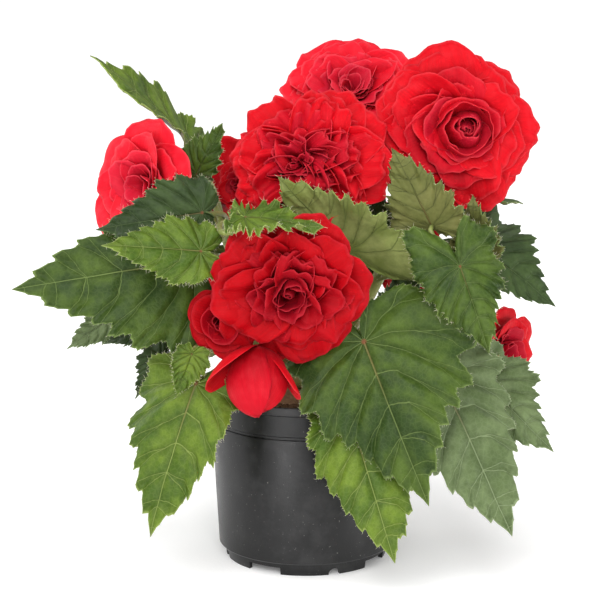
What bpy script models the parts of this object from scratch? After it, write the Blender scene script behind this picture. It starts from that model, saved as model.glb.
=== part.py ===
"""A potted tuberous begonia: double red flowers and toothed leaves over a round nursery pot.

Metres, +Z up. The origin is the centre of the pot's foot, on the surface it stands on. The side that
the plant shows is towards -Y. Directions are unit-free and places in the tables are in millimetres.
"""

import math
import random
from collections import namedtuple

import bmesh
import bpy
import numpy as np
from mathutils import Matrix, Vector, noise

MM = 0.001
GAP = 0.35 * MM  # clear space between pieces that touch
SEAT = 0.55 * MM  # clear space between a stalk and the blade or flower it carries

# Pot
RIM_RADIUS = 60.0 * MM
RIM_HEIGHT = 106.0 * MM
RIM_LIP = 5.0 * MM
BAND_BOTTOM = 88.0 * MM
BODY_TOP_RADIUS = 58.0 * MM
BODY_BOTTOM_RADIUS = 53.5 * MM
FOOT_RADIUS = 49.5 * MM
FOOT_HEIGHT = 8.0 * MM
FOOT_RING = 3.0 * MM
WALL = 1.4 * MM
FLOOR_BOTTOM = 4.5 * MM
FLOOR_TOP = 6.5 * MM
PAD_RADIUS = 15.0 * MM
POT_STEPS = 28
BAND_INSET = 1.2 * MM
GROOVE_DEPTH = 0.8 * MM
GROOVE_HEIGHT = 2.0 * MM
CHAMFER = 0.6 * MM
RECESS_ANGLES = (-31, 59, 149, 239)  # degrees round from the front, towards +X
RECESS_WIDTH = 22.0 * MM
RECESS_HEIGHT = 4.4 * MM
RECESS_DEPTH = 9.0 * MM
NOTCH_ANGLES = (20, 110, 200, -76)
NOTCH_RADIUS = 3.6 * MM
DRAIN_CIRCLE = 39.0 * MM
DRAIN_RADIUS = 4.0 * MM
HOLE_SIDES = 12

# Potting mix and tuber
MIX_TOP = 95.0 * MM
MIX_MOUND = 3.0 * MM
MIX_LUMP = 1.3 * MM
MIX_LUMPS_PER_METRE = 90
MIX_STEPS = 24
TUBER_CENTRE = Vector((0, 0, 93)) * MM
TUBER_RADIUS = 23.0 * MM
TUBER_HALF_HEIGHT = 13.0 * MM
TUBER_LUMP = 0.012
TUBER_LUMPS_PER_METRE = 120
CROWN_CENTRE = Vector((0, 0, 112)) * MM
CROWN_RADIUS = 11.0 * MM
TUBER_FACES = (14, 8)  # round and from pole to pole
CROWN_FACES = (12, 8)
CORE_FACES = (6, 4)
BUD_FACES = (8, 6)

# Leaves
BLADE_THICKNESS = 0.7 * MM
BLADE_SPOKES = 22
SMALL_BLADE_SPOKES = 18
SMALL_BLADE = 62.0 * MM
BLADE_RINGS = (0.0, 0.55, 1.0)
SPOKE_CROWDING = 0.35  # how far the spokes crowd towards the tip
TOOTH = 0.09
FULL_WIDTH_FROM = math.radians(70)  # the angle from the tip where a side takes its full widening
WIDENING_GROWTH = 1.5
TOOTH_LIFT = 0.9 * MM
TOOTH_LIFT_FROM = 15.0 * MM  # nearer to the stalk than this, a tooth lifts less
WAVES = 5  # round the margin
WAVE_TURN = 2.1  # radians for each millimetre that the blade stands to the right
# Half of the outline: angle from the tip about the leaf stalk, and distance over the blade's length
OUTLINE = (
    (0, 0.92), (8, 0.80), (18, 0.62), (28, 0.52), (44, 0.46), (58, 0.38), (74, 0.34), (90, 0.33),
    (108, 0.31), (130, 0.34), (148, 0.30), (162, 0.22), (172, 0.13), (180, 0.07),
)
STALK_RADIUS = (2.1, 1.5)  # millimetres, at the stem and at the blade
KNEE = 4.0 * MM  # the last straight run of a leaf stalk
LEAVING_LEAN = 0.5  # how far a stalk leans towards its end where it leaves the stem
ARRIVING_LEAN = (0.6, 0.8)  # out of the blade's upper side, and along its main vein
UPTURNED_RUN = 15.0 * MM  # how far an upturned blade's stalk runs below it
STALK_SAMPLES = 4
STALK_HANDLE = 0.35  # how far a stalk keeps its direction at each end, over its span
LEAF_RISE = 25.0 * MM  # a stalk leaves its stem at least this far below what it carries
FLOWER_RISE = 35.0 * MM
LOW_START_WEIGHT = 2.5  # how much a start that is too high counts against one that is far off
STEM_STEPS = 6  # places between two knots of a main stem where a stalk may leave

# Flowers
PETAL_THICKNESS = 0.9 * MM
PETAL_SIZES = (0.93, 1.04)
PETAL_STRAY = 0.1  # radians off its even place round the flower
CORE_WIDTH = 0.20
CORE_HALF_HEIGHT = 0.27
CORE_BOTTOM = 0.53
FLOWER_STALK_RADIUS = (2.4, 1.9)  # millimetres
BUD_STALK_RADIUS = (1.6, 1.2)
BUD_WIDTH = 0.62  # over the bud's length
BUD_FLATNESS = 0.75
BUD_TAPER = 0.35

# Main stems: points in millimetres from the crown up, and the radius at each end
STEMS = {
    "left": ((-4, 0, 112), (-16, -4, 130), (-34, -2, 165), (-50, 4, 200)),
    "middle": ((0, 2, 112), (2, 8, 140), (6, 16, 185), (10, 18, 225)),
    "right": ((5, 0, 112), (22, -4, 135), (44, -6, 175), (62, -8, 215)),
    "front": ((1, -4, 112), (5, -20, 125), (8, -34, 146)),
    "back": ((0, 5, 112), (0, 28, 132), (2, 46, 160)),
}
STEM_RADIUS = (5.4, 3.2)

# base: where the stalk meets the blade; face: where the upper side looks; left, right and back widen
# the blade on each side of the main vein and behind the stalk; bend, cup and wave are in millimetres
Leaf = namedtuple("Leaf", "base tip face left right back bend cup wave")
LEAVES = {
    "left_large": Leaf((-67, -46, 191), (-170, -58, 177), (0.1, -0.9, 0.4), 1.4, 0.75, 0.2, 10, -4, 4),
    "left_bright": Leaf((-60, -74, 202), (-115, -82, 207), (0, -0.9, 0.45), 1.0, 1.0, 0.8, 5, -3, 2),
    "left_dark": Leaf((-60, -54, 221), (-121, -52, 211), (0, -0.95, 0.3), 0.7, 1.1, 0.5, 6, -3, 3),
    "left_folded": Leaf((-70, 22, 251), (-127, 0, 307), (0.65, -0.15, 0.7), 0.9, 0.9, 0.7, 12, 8, 3),
    "left_olive": Leaf((-65, -15, 238), (-48, -19, 268), (-0.3, -0.7, 0.6), 1.5, 1.35, 0.8, 3, 3, 1.5),
    "middle_upturned": Leaf((24, -50, 198), (-16, -76, 244), (0.1, 0.9, 0.4), 1.5, 0.9, 1.6, 6, -6, 3),
    "middle_young": Leaf((-34, -96, 225), (9, -99, 221), (0, -0.4, 0.9), 0.8, 0.8, 1.2, 4, -3, 2),
    "right_upright": Leaf((72, -60, 214), (48, -72, 260), (0.3, 0.9, 0.2), 1.2, 1.2, 0.5, 5, -4, 2),
    "right_young": Leaf((87, -78, 194), (103, -87, 146), (0.1, -0.95, 0.3), 1.3, 1.4, 1.6, 6, -4, 2),
    "right_curled": Leaf((98, -50, 196), (96, -56, 231), (0.4, 0.8, 0.3), 1.4, 1.2, 0.7, 4, -4, 2),
    "right_dark": Leaf((104, -20, 194), (149, -24, 161), (0.3, -0.8, 0.5), 1.6, 1.3, 1.6, 7, -4, 3),
    "front_large": Leaf((33, -72, 149), (70, -94, 58), (-0.1, -1.0, 0.1), 1.65, 1.4, 0.45, 12, -4, 5),
    "front_low": Leaf((25, -71, 106), (51, -86, 21), (0.0, -0.95, 0.3), 1.4, 0.85, 0.7, 8, -4, 4),
    "right_low": Leaf((78, -62, 125), (119, -74, 33), (0.4, -0.85, 0.2), 1.1, 1.1, 1.1, 10, -4, 4),
    "right_low_outer": Leaf((106, -38, 116), (146, -46, 76), (0.3, -0.9, 0.3), 1.4, 1.5, 1.0, 5, -4, 2),
    "right_inner": Leaf((64, -46, 106), (78, -52, 77), (0.2, -0.9, 0.2), 1.2, 1.2, 1.1, 3, -2, 1.5),
    "right_shaded": Leaf((52, -38, 148), (62, -38, 190), (0.0, -0.95, 0.2), 1.2, 1.2, 0.6, 4, -2, 1),
    "middle_shaded": Leaf((44, 14, 185), (37, 8, 235), (0.0, -0.95, 0.2), 1.9, 0.95, 1.2, 4, -2, 1),
    "left_low": Leaf((-64, -62, 122), (-92, -76, 34), (-0.45, -0.85, 0.25), 0.9, 1.15, 0.4, 10, -4, 4),
    "left_rounded": Leaf((-86, -34, 130), (-101, -38, 107), (-0.2, -0.9, 0.4), 1.5, 1.5, 1.2, 3, -2, 1.5),
    "left_twisted": Leaf((-116, 8, 148), (-146, 6, 127), (-0.1, -0.8, 0.6), 1.2, 1.2, 1.2, 4, 3, 1.5),
    "left_veined": Leaf((-66, -69, 141), (-75, -73, 117), (0.1, -0.95, 0.3), 1.3, 1.1, 0.7, 3, 0, 0),
    "left_shaded": Leaf((-84, -12, 150), (-122, -10, 134), (-0.1, -0.8, 0.6), 1.4, 1.4, 1.0, 4, -3, 1.5),
    "back_left_low": Leaf((-48, 66, 130), (-88, 118, 84), (-0.5, 0.5, 0.7), 1.4, 1.4, 1.2, 10, -4, 4),
    "back_low": Leaf((8, 80, 122), (4, 142, 72), (0, 0.6, 0.8), 1.5, 1.5, 1.2, 12, -5, 5),
    "back_right_low": Leaf((62, 60, 132), (112, 104, 88), (0.5, 0.5, 0.7), 1.4, 1.4, 1.2, 10, -4, 4),
    "back_left": Leaf((-78, 48, 184), (-138, 82, 168), (-0.4, 0.4, 0.8), 1.4, 1.4, 1.2, 10, -4, 4),
    "back_right": Leaf((84, 44, 222), (138, 70, 204), (0.4, 0.4, 0.8), 1.4, 1.4, 1.2, 9, -4, 4),
    "back_high": Leaf((6, 72, 240), (10, 118, 236), (0, 0.5, 0.85), 1.4, 1.4, 1.2, 8, -4, 3),
}

# Rings of petals from the outside in. Each number but the count and the angles is over the flower's
# radius; the angles in degrees lean from the flower's axis, at the petal's root and at its end
Ring = namedtuple("Ring", "count length half_width root_angle end_angle root_radius cup ruffle")
FULL = (
    Ring(5, 1.02, 0.50, 38, 100, 0.06, -0.03, 0.06),
    Ring(4, 0.84, 0.46, 16, 76, 0.05, 0.00, 0.05),
    Ring(3, 0.64, 0.34, 2, 40, 0.05, 0.00, 0.03),
)
MEDIUM = FULL[:2]
SMALL = (Ring(5, 1.06, 0.56, 26, 92, 0.06, 0.00, 0.06),)
HANGING = (Ring(5, 1.60, 0.62, 62, 2, 0.10, 0.00, 0.03),)
PETAL_GRIDS = ((3, 2), (2, 2), (2, 2))  # faces across and along, ring by ring
PINWHEEL = 0.07  # how far a petal tilts about its own middle, over the flower's radius
ROOT_WIDTH = 0.14
ROOT_DEPTH = 0.45  # how far the petals' roots lie behind the flower's middle, over its radius
FULL_WIDTH_AT = 0.77  # share of the petal's length where it is widest
END_ROUNDING = 0.20
END_NARROWING = 0.25
RUFFLES = 4

# centre: the flower's middle; face: where it looks; radius in millimetres; turn in degrees
Flower = namedtuple("Flower", "centre face radius turn rings seed")
FLOWERS = {
    "front": Flower((-10, -84, 180), (-0.05, -0.97, -0.22), 49, 63, FULL, 1),
    "upper_right": Flower((86, -34, 267), (0.10, -0.96, 0.12), 52, 50, FULL, 2),
    "upper_middle": Flower((28, 30, 285), (-0.05, -0.70, 0.70), 44, 0, MEDIUM, 3),
    "left_centre": Flower((3, -44, 248), (-0.15, -0.95, 0.22), 49, 35, FULL, 4),
    "left": Flower((-98, -10, 231), (-0.60, -0.74, 0.20), 44, 15, SMALL, 5),
    "left_small": Flower((-40, -4, 230), (-0.4, -0.85, 0.3), 18, 60, SMALL, 6),
    "right_small": Flower((121, 8, 124), (0.75, -0.6, -0.1), 34, 30, SMALL, 7),
    "front_side": Flower((-48, -66, 160), (-0.25, -0.97, 0.0), 24, 0, SMALL, 11),
    "hanging": Flower((-28, -81, 136), (0.05, -0.55, -0.85), 27, 10, HANGING, 8),
    "back_left": Flower((-58, 78, 216), (-0.45, 0.8, 0.35), 40, 25, SMALL, 9),
    "back_right": Flower((58, 84, 176), (0.45, 0.85, 0.1), 40, 45, SMALL, 10),
}

# Flower buds: centre, axis, and half length in millimetres
Bud = namedtuple("Bud", "centre axis half_length")
BUDS = {
    "left": Bud((-100, -20, 155), (-0.5, -0.5, -0.6), 7),
}

# Colours from the photograph, roughness
PLASTIC_BLACK = ((0.045, 0.047, 0.050), 0.42)
MIX_BROWN = ((0.060, 0.038, 0.025), 0.95)
TUBER_BROWN = ((0.150, 0.085, 0.045), 0.85)
STEM_GREEN = ((0.200, 0.200, 0.060), 0.50)
LEAF_GREEN = ((0.090, 0.190, 0.035), 0.50)
PETAL_RED = ((0.700, 0.010, 0.015), 0.45)


def clear_scene():
    for thing in list(bpy.data.objects):
        bpy.data.objects.remove(thing)


def new_collection(name, hidden=False):
    collection = bpy.data.collections.new(name)
    collection.hide_render = hidden
    bpy.context.scene.collection.children.link(collection)
    return collection


def paint(thing, look):
    colour, roughness = look
    material = bpy.data.materials.new(thing.name)
    material.use_nodes = True
    shader = material.node_tree.nodes["Principled BSDF"]
    shader.inputs["Base Color"].default_value = (*colour, 1)
    shader.inputs["Roughness"].default_value = roughness
    thing.data.materials.clear()
    thing.data.materials.append(material)


def mesh_object(name, bm, collection):
    """An object of this bmesh, which is freed."""
    bmesh.ops.recalc_face_normals(bm, faces=bm.faces)
    mesh = bpy.data.meshes.new(name)
    bm.to_mesh(mesh)
    bm.free()
    mesh.shade_smooth()
    thing = bpy.data.objects.new(name, mesh)
    collection.objects.link(thing)
    return thing


def evaluated_mesh(thing):
    bpy.context.view_layer.update()
    graph = bpy.context.evaluated_depsgraph_get()
    return bpy.data.meshes.new_from_object(thing.evaluated_get(graph))


def remove(thing):
    bpy.data.objects.remove(thing)


def shells_of(bm):
    """The separate surfaces of a mesh, each as a list of faces."""
    left = set(bm.faces)
    shells = []
    while left:
        shell = [left.pop()]
        for face in shell:
            for edge in face.edges:
                for other in edge.link_faces:
                    if other in left:
                        left.remove(other)
                        shell.append(other)
        shells.append(shell)
    return shells


def keep_outer_shell(mesh):
    """Fills the hollows that a union seals and drops the scraps it cuts off."""
    bm = bmesh.new()
    bm.from_mesh(mesh)
    shells = shells_of(bm)
    outer = max(shells, key=len)
    for shell in shells:
        if shell is not outer:
            bmesh.ops.delete(bm, geom=shell, context="FACES")
    bm.to_mesh(mesh)
    bm.free()


def fuse(pieces):
    """One body from pieces that cross, in the place of the first."""
    body, others = pieces[0], pieces[1:]
    group = bpy.data.collections.new("fused")
    bpy.context.scene.collection.children.link(group)
    for piece in others:
        group.objects.link(piece)
    union = body.modifiers.new("union", "BOOLEAN")
    union.operation = "UNION"
    union.operand_type = "COLLECTION"
    union.collection = group
    union.solver = "EXACT"
    mesh = evaluated_mesh(body)
    body.modifiers.clear()
    for piece in others:
        remove(piece)
    bpy.data.collections.remove(group)
    keep_outer_shell(mesh)
    mesh.shade_smooth()
    mesh.name = body.name
    body.data = mesh
    return body


def cut_away(thing, cutters, name):
    """Cuts thing by the objects of a hidden collection, and keeps the cut live."""
    for cutter in cutters.objects:
        cutter.hide_render = True
        cutter.display_type = "WIRE"
    cut = thing.modifiers.new(name, "BOOLEAN")
    cut.operation = "DIFFERENCE"
    cut.operand_type = "COLLECTION"
    cut.collection = cutters
    cut.solver = "EXACT"


def turned(name, profile, steps, collection):
    """A solid turned about +Z from a profile of (radius, height) that starts and ends on the axis."""
    mesh = bpy.data.meshes.new(name)
    bm = bmesh.new()
    points = [bm.verts.new((radius, 0, height)) for radius, height in profile]
    for pair in zip(points, points[1:]):
        bm.edges.new(pair)
    bm.to_mesh(mesh)
    bm.free()
    thing = bpy.data.objects.new(name, mesh)
    collection.objects.link(thing)
    screw = thing.modifiers.new("turn", "SCREW")
    screw.axis = "Z"
    screw.steps = steps
    screw.render_steps = steps
    screw.use_merge_vertices = True
    screw.merge_threshold = 0.01 * MM
    thing.data = evaluated_mesh(thing)
    thing.modifiers.clear()
    bm = bmesh.new()
    bm.from_mesh(thing.data)
    bmesh.ops.remove_doubles(bm, verts=bm.verts, dist=0.01 * MM)
    bmesh.ops.recalc_face_normals(bm, faces=bm.faces)
    bm.to_mesh(thing.data)
    bm.free()
    thing.data.name = name
    thing.data.shade_smooth()
    thing.data.set_sharp_from_angle(angle=math.radians(40))
    return thing


def tube(name, points, radii, collection):
    """A closed tube of six sides through these points, its radii in metres."""
    curve = bpy.data.curves.new(name, "CURVE")
    curve.dimensions = "3D"
    curve.bevel_depth = MM
    curve.bevel_resolution = 1
    curve.use_fill_caps = True
    spline = curve.splines.new("POLY")
    spline.points.add(len(points) - 1)
    for knot, place, radius in zip(spline.points, points, radii):
        knot.co = (*place, 1)
        knot.radius = radius / MM
    drawn = bpy.data.objects.new(name + "_curve", curve)
    collection.objects.link(drawn)
    mesh = evaluated_mesh(drawn)
    place = drawn.matrix_world.copy()
    remove(drawn)
    bm = bmesh.new()
    bm.from_mesh(mesh)
    bmesh.ops.remove_doubles(bm, verts=bm.verts, dist=0.001 * MM)
    thing = mesh_object(name, bm, collection)
    thing.matrix_world = place
    return thing


def blend(pair, share):
    return pair[0] + (pair[1] - pair[0]) * share


def about_z(angle, radius, height):
    """A place at this angle in degrees from the front, round towards +X."""
    turn = math.radians(angle)
    return Vector((radius * math.sin(turn), -radius * math.cos(turn), height))


# The nursery pot


def pot_profile():
    """The pot's section from the middle of its floor over the rim to the middle of its underside."""
    lip_bottom = RIM_HEIGHT - RIM_LIP
    groove_radius = BODY_TOP_RADIUS - GROOVE_DEPTH
    groove_bottom = BAND_BOTTOM - GROOVE_HEIGHT
    inner = [
        (0, FLOOR_TOP),
        (FOOT_RADIUS - WALL, FLOOR_TOP),
        (FOOT_RADIUS - WALL, FOOT_HEIGHT + WALL),
        (BODY_BOTTOM_RADIUS - WALL, FOOT_HEIGHT + WALL),
        (RIM_RADIUS - WALL - CHAMFER, RIM_HEIGHT),
    ]
    outer = [
        (RIM_RADIUS - CHAMFER, RIM_HEIGHT),
        (RIM_RADIUS, RIM_HEIGHT - CHAMFER),
        (RIM_RADIUS, lip_bottom),
        (RIM_RADIUS - BAND_INSET, lip_bottom - CHAMFER),
        (BODY_TOP_RADIUS + CHAMFER, BAND_BOTTOM),
        (groove_radius, BAND_BOTTOM - CHAMFER),
        (groove_radius, groove_bottom),
        (BODY_TOP_RADIUS, groove_bottom - CHAMFER),
        (BODY_BOTTOM_RADIUS, FOOT_HEIGHT),
        (FOOT_RADIUS + CHAMFER, FOOT_HEIGHT - CHAMFER),
        (FOOT_RADIUS, 0),
        (FOOT_RADIUS - FOOT_RING, 0),
        (FOOT_RADIUS - FOOT_RING, FLOOR_BOTTOM),
        (PAD_RADIUS, FLOOR_BOTTOM),
        (PAD_RADIUS, 0),
        (0, 0),
    ]
    return inner + outer


def rod(name, radius, length, collection):
    """A round bar along +Z about its own origin."""
    bm = bmesh.new()
    bmesh.ops.create_cone(
        bm, cap_ends=True, segments=HOLE_SIDES, radius1=radius, radius2=radius, depth=length
    )
    return mesh_object(name, bm, collection)


def make_pot(collection, cutters):
    pot = turned("pot", pot_profile(), POT_STEPS, collection)
    for number, angle in enumerate(RECESS_ANGLES):
        bm = bmesh.new()
        bmesh.ops.create_cube(bm, size=1)
        bmesh.ops.scale(bm, vec=(RECESS_WIDTH, RECESS_DEPTH, 2 * RECESS_HEIGHT), verts=bm.verts)
        cutter = mesh_object(f"recess_cutter_{number}", bm, cutters)
        cutter.location = about_z(angle, FOOT_RADIUS, 0)
        cutter.rotation_euler = (0, 0, math.radians(angle))
    for number, angle in enumerate(NOTCH_ANGLES):
        cutter = rod(f"notch_cutter_{number}", NOTCH_RADIUS, 4 * FOOT_RING, cutters)
        cutter.location = about_z(angle, FOOT_RADIUS - FOOT_RING / 2, GAP)
        cutter.rotation_euler = (math.radians(90), 0, math.radians(angle))
    for number, angle in enumerate(RECESS_ANGLES + NOTCH_ANGLES):
        cutter = rod(f"drain_cutter_{number}", DRAIN_RADIUS, FLOOR_TOP, cutters)
        cutter.location = about_z(angle, DRAIN_CIRCLE, (FLOOR_BOTTOM + FLOOR_TOP) / 2)
    cut_away(pot, cutters, "foot openings")
    paint(pot, PLASTIC_BLACK)
    return pot


# Potting mix, tuber and crown


def ellipsoid(name, centre, radius, half_height, faces, collection):
    bm = bmesh.new()
    bmesh.ops.create_uvsphere(bm, u_segments=faces[0], v_segments=faces[1], radius=1)
    bmesh.ops.scale(bm, vec=(radius, radius, half_height), verts=bm.verts)
    thing = mesh_object(name, bm, collection)
    thing.location = centre
    return thing


def make_mix(collection, cutters):
    taper = (RIM_RADIUS - BODY_BOTTOM_RADIUS) / (RIM_HEIGHT - FOOT_HEIGHT)
    rim_of_mix = RIM_RADIUS - WALL - CHAMFER - GAP - taper * (RIM_HEIGHT - MIX_TOP)
    profile = [
        *(
            (rim_of_mix * share, MIX_TOP + MIX_MOUND * (1 - share**2))
            for share in (0, 0.6, 0.8, 1)
        ),
        (BODY_BOTTOM_RADIUS - WALL - GAP, FOOT_HEIGHT + WALL + GAP),
        (FOOT_RADIUS - WALL - GAP, FOOT_HEIGHT + WALL + GAP),
        (FOOT_RADIUS - WALL - GAP, FLOOR_TOP + GAP),
        (0, FLOOR_TOP + GAP),
    ]
    mix = turned("potting_mix", profile, MIX_STEPS, collection)
    for vertex in mix.data.vertices:
        if vertex.co.z > MIX_TOP + GAP:
            vertex.co.z += MIX_LUMP * noise.noise(vertex.co * MIX_LUMPS_PER_METRE)
    room = 2 * GAP
    ellipsoid(
        "tuber_pit", TUBER_CENTRE, TUBER_RADIUS + room, TUBER_HALF_HEIGHT + room, TUBER_FACES, cutters
    )
    cut_away(mix, cutters, "pit")
    paint(mix, MIX_BROWN)
    return mix


def make_tuber(collection, cutters):
    tuber = ellipsoid("tuber", TUBER_CENTRE, TUBER_RADIUS, TUBER_HALF_HEIGHT, TUBER_FACES, collection)
    for vertex in tuber.data.vertices:
        vertex.co *= 1 + TUBER_LUMP * (noise.noise(vertex.co * TUBER_LUMPS_PER_METRE) - 1)
    ellipsoid("crown_seat", CROWN_CENTRE, CROWN_RADIUS + GAP, CROWN_RADIUS + GAP, CROWN_FACES, cutters)
    cut_away(tuber, cutters, "seat of the crown")
    paint(tuber, TUBER_BROWN)
    return tuber


# Leaves


def blade_frame(leaf):
    """The blade's length and its frame, with X along the main vein, Z out of the upper side."""
    base, tip = Vector(leaf.base) * MM, Vector(leaf.tip) * MM
    chord = (tip - base).normalized()
    face = Vector(leaf.face)
    face = (face - face.dot(chord) * chord).normalized()
    reach, bend = (tip - base).length, leaf.bend * MM
    rise = math.asin(bend / reach)
    along = math.cos(rise) * chord + math.sin(rise) * face
    up = math.cos(rise) * face - math.sin(rise) * chord
    side = up.cross(along)
    frame = Matrix((along, side, up)).transposed().to_4x4()
    frame.translation = base
    return reach * math.cos(rise), frame


def outline_radius(leaf, angle):
    """The outline's distance from the stalk, over the blade's length, at this angle from the tip."""
    angles, shares = zip(*OUTLINE)
    share = float(np.interp(abs(math.degrees(angle)), angles, shares))
    side = leaf.left if angle > 0 else leaf.right
    off_axis = min(1.0, (abs(angle) / FULL_WIDTH_FROM) ** WIDENING_GROWTH)
    behind = max(0.0, -math.cos(angle))
    return share * (1 + (side - 1) * off_axis) * (1 + (leaf.back - 1) * behind)


def blade_height(leaf, length, s, t, share, angle):
    """How far the blade's surface lies above the frame's plane."""
    bend = -leaf.bend * MM * (s / length) ** 2
    cup = leaf.cup * MM * (2 * t / length) ** 2
    phase = WAVE_TURN * leaf.base[0]
    wave = leaf.wave * MM * share**2 * math.sin(WAVES * angle + phase)
    return bend + cup + wave


def spokes_of(length):
    return SMALL_BLADE_SPOKES if length < SMALL_BLADE else BLADE_SPOKES


def spoke_angle(number, spokes):
    turn = math.tau * number / spokes
    if turn > math.pi:
        turn -= math.tau
    return turn - SPOKE_CROWDING * math.sin(turn)


def make_blade(name, leaf, collection):
    length, frame = blade_frame(leaf)
    spokes = spokes_of(length)
    bm = bmesh.new()
    line = [bm.verts.new((share, 0, 0)) for share in BLADE_RINGS]
    edges = [bm.edges.new(pair) for pair in zip(line, line[1:])]
    bmesh.ops.spin(
        bm, geom=line + edges, cent=(0, 0, 0), axis=(0, 0, 1), angle=math.tau,
        steps=spokes, use_merge=True,
    )
    bmesh.ops.remove_doubles(bm, verts=bm.verts, dist=0.01)
    for vertex in bm.verts:
        share = vertex.co.length
        number = round(math.atan2(vertex.co.y, vertex.co.x) / math.tau * spokes) % spokes
        angle = spoke_angle(number, spokes)
        tooth = 1 if number % 2 == 0 else -1
        edge = share > 0.99
        radius = share * length * outline_radius(leaf, angle) * (1 + edge * TOOTH * tooth)
        s, t = radius * math.cos(angle), radius * math.sin(angle)
        lift = edge * tooth * TOOTH_LIFT * min(1, radius / TOOTH_LIFT_FROM)
        height = blade_height(leaf, length, s, t, share, angle) + lift
        vertex.co = (s, t, height)
    bmesh.ops.triangulate(bm, faces=bm.faces)
    blade = mesh_object(name, bm, collection)
    blade.matrix_world = frame
    sheet = blade.modifiers.new("thickness", "SOLIDIFY")
    sheet.thickness = BLADE_THICKNESS
    sheet.offset = 0
    paint(blade, LEAF_GREEN)
    return blade


# Flowers


def petal(ring, radius, phase, size, grid):
    """One petal of a ring as a thick sheet, wrapped round the flower's axis about +X."""
    bm = bmesh.new()
    bmesh.ops.create_grid(bm, x_segments=grid[0], y_segments=grid[1], size=1)
    start, end = math.radians(ring.root_angle), math.radians(ring.end_angle)
    turn = end - start
    length = ring.length * radius * size
    for vertex in bm.verts:
        across, along = vertex.co.x, (vertex.co.y + 1) / 2
        along *= 1 - END_ROUNDING * across**2 * along
        lean = start + turn * along
        out = ring.root_radius * radius + length * (math.cos(start) - math.cos(lean)) / turn
        up = length * (math.sin(lean) - math.sin(start)) / turn - ROOT_DEPTH * radius
        widening = blend((ROOT_WIDTH, 1), math.sin(min(1, along / FULL_WIDTH_AT) * math.pi / 2))
        half_width = ring.half_width * radius * size * widening * (1 - END_NARROWING * along**3)
        ruffle = ring.ruffle * along**2 * math.sin(RUFFLES * across + phase)
        tilt = PINWHEEL * across * min(1, 2 * along / FULL_WIDTH_AT)
        lift = radius * (ring.cup * across**2 + ruffle + tilt)
        around = across * half_width / out
        out -= math.cos(lean) * lift
        vertex.co = (out * math.cos(around), out * math.sin(around), up + math.sin(lean) * lift)
    bmesh.ops.triangulate(bm, faces=bm.faces)
    bmesh.ops.recalc_face_normals(bm, faces=bm.faces)
    bmesh.ops.solidify(bm, geom=bm.faces, thickness=PETAL_THICKNESS)
    return bm


def flower_frame(flower):
    up = Vector(flower.face).normalized()
    across = Vector((0, 0, 1)).cross(up)
    if across.length < 0.2:
        across = Vector((1, 0, 0))
    across = (across - across.dot(up) * up).normalized()
    frame = Matrix((across, up.cross(across), up)).transposed().to_4x4()
    frame = frame @ Matrix.Rotation(math.radians(flower.turn), 4, "Z")
    frame.translation = Vector(flower.centre) * MM
    return frame


def make_flower(name, flower, collection):
    dice = random.Random(flower.seed)
    radius = flower.radius * MM
    core = ellipsoid(
        name, (0, 0, 0), CORE_WIDTH * radius, CORE_HALF_HEIGHT * radius, CORE_FACES, collection
    )
    core.data.transform(Matrix.Translation((0, 0, (CORE_HALF_HEIGHT - CORE_BOTTOM) * radius)))
    pieces = [core]
    for level, ring in enumerate(flower.rings):
        for number in range(ring.count):
            phase, size = dice.uniform(0, math.tau), dice.uniform(*PETAL_SIZES)
            bm = petal(ring, radius, phase, size, PETAL_GRIDS[level])
            azimuth = math.tau * (number + level / 2) / ring.count
            azimuth += dice.uniform(-PETAL_STRAY, PETAL_STRAY)
            bmesh.ops.rotate(bm, matrix=Matrix.Rotation(azimuth, 3, "Z"), verts=bm.verts)
            pieces.append(mesh_object(f"{name}_{level}_{number}", bm, collection))
    body = fuse(pieces)
    body.matrix_world = flower_frame(flower)
    paint(body, PETAL_RED)
    return body


def bud_frame(bud):
    frame = Vector(bud.axis).to_track_quat("Z", "Y").to_matrix().to_4x4()
    frame.translation = Vector(bud.centre) * MM
    return frame


def make_bud(name, bud, collection):
    """A flat, pointed bud, widest near its stalk."""
    half = bud.half_length * MM
    bm = bmesh.new()
    bmesh.ops.create_uvsphere(bm, u_segments=BUD_FACES[0], v_segments=BUD_FACES[1], radius=half)
    for vertex in bm.verts:
        along = vertex.co.z / half
        narrow = BUD_WIDTH * (1 - BUD_TAPER * along)
        vertex.co = (vertex.co.x * narrow, vertex.co.y * narrow * BUD_FLATNESS, vertex.co.z)
    body = mesh_object(name, bm, collection)
    body.matrix_world = bud_frame(bud)
    paint(body, PETAL_RED)
    return body


# Stems, leaf stalks and flower stalks


def curved(start, lean, arrive, end, samples):
    """Points along a smooth bend that leaves start along lean and reaches end along arrive."""
    span = (end - start).length
    first = start + lean.normalized() * span * STALK_HANDLE
    last = end - arrive.normalized() * span * STALK_HANDLE
    points = []
    for number in range(samples):
        u = number / (samples - 1)
        points.append(
            (1 - u) ** 3 * start + 3 * u * (1 - u) ** 2 * first + 3 * u**2 * (1 - u) * last + u**3 * end
        )
    return points


def stem_points():
    """Points all along the main stems, where a stalk may leave."""
    found = []
    for knots in STEMS.values():
        knots = [Vector(knot) * MM for knot in knots]
        for pair in zip(knots, knots[1:]):
            found += [blend(pair, number / STEM_STEPS) for number in range(STEM_STEPS + 1)]
    return found


def leaving_point(end, rise):
    """Where on the main stems the stalk to this end leaves: near it, and lower by at least rise."""
    def cost(point):
        return (end - point).length + LOW_START_WEIGHT * max(0.0, point.z - (end.z - rise))
    return min(stem_points(), key=cost)


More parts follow.
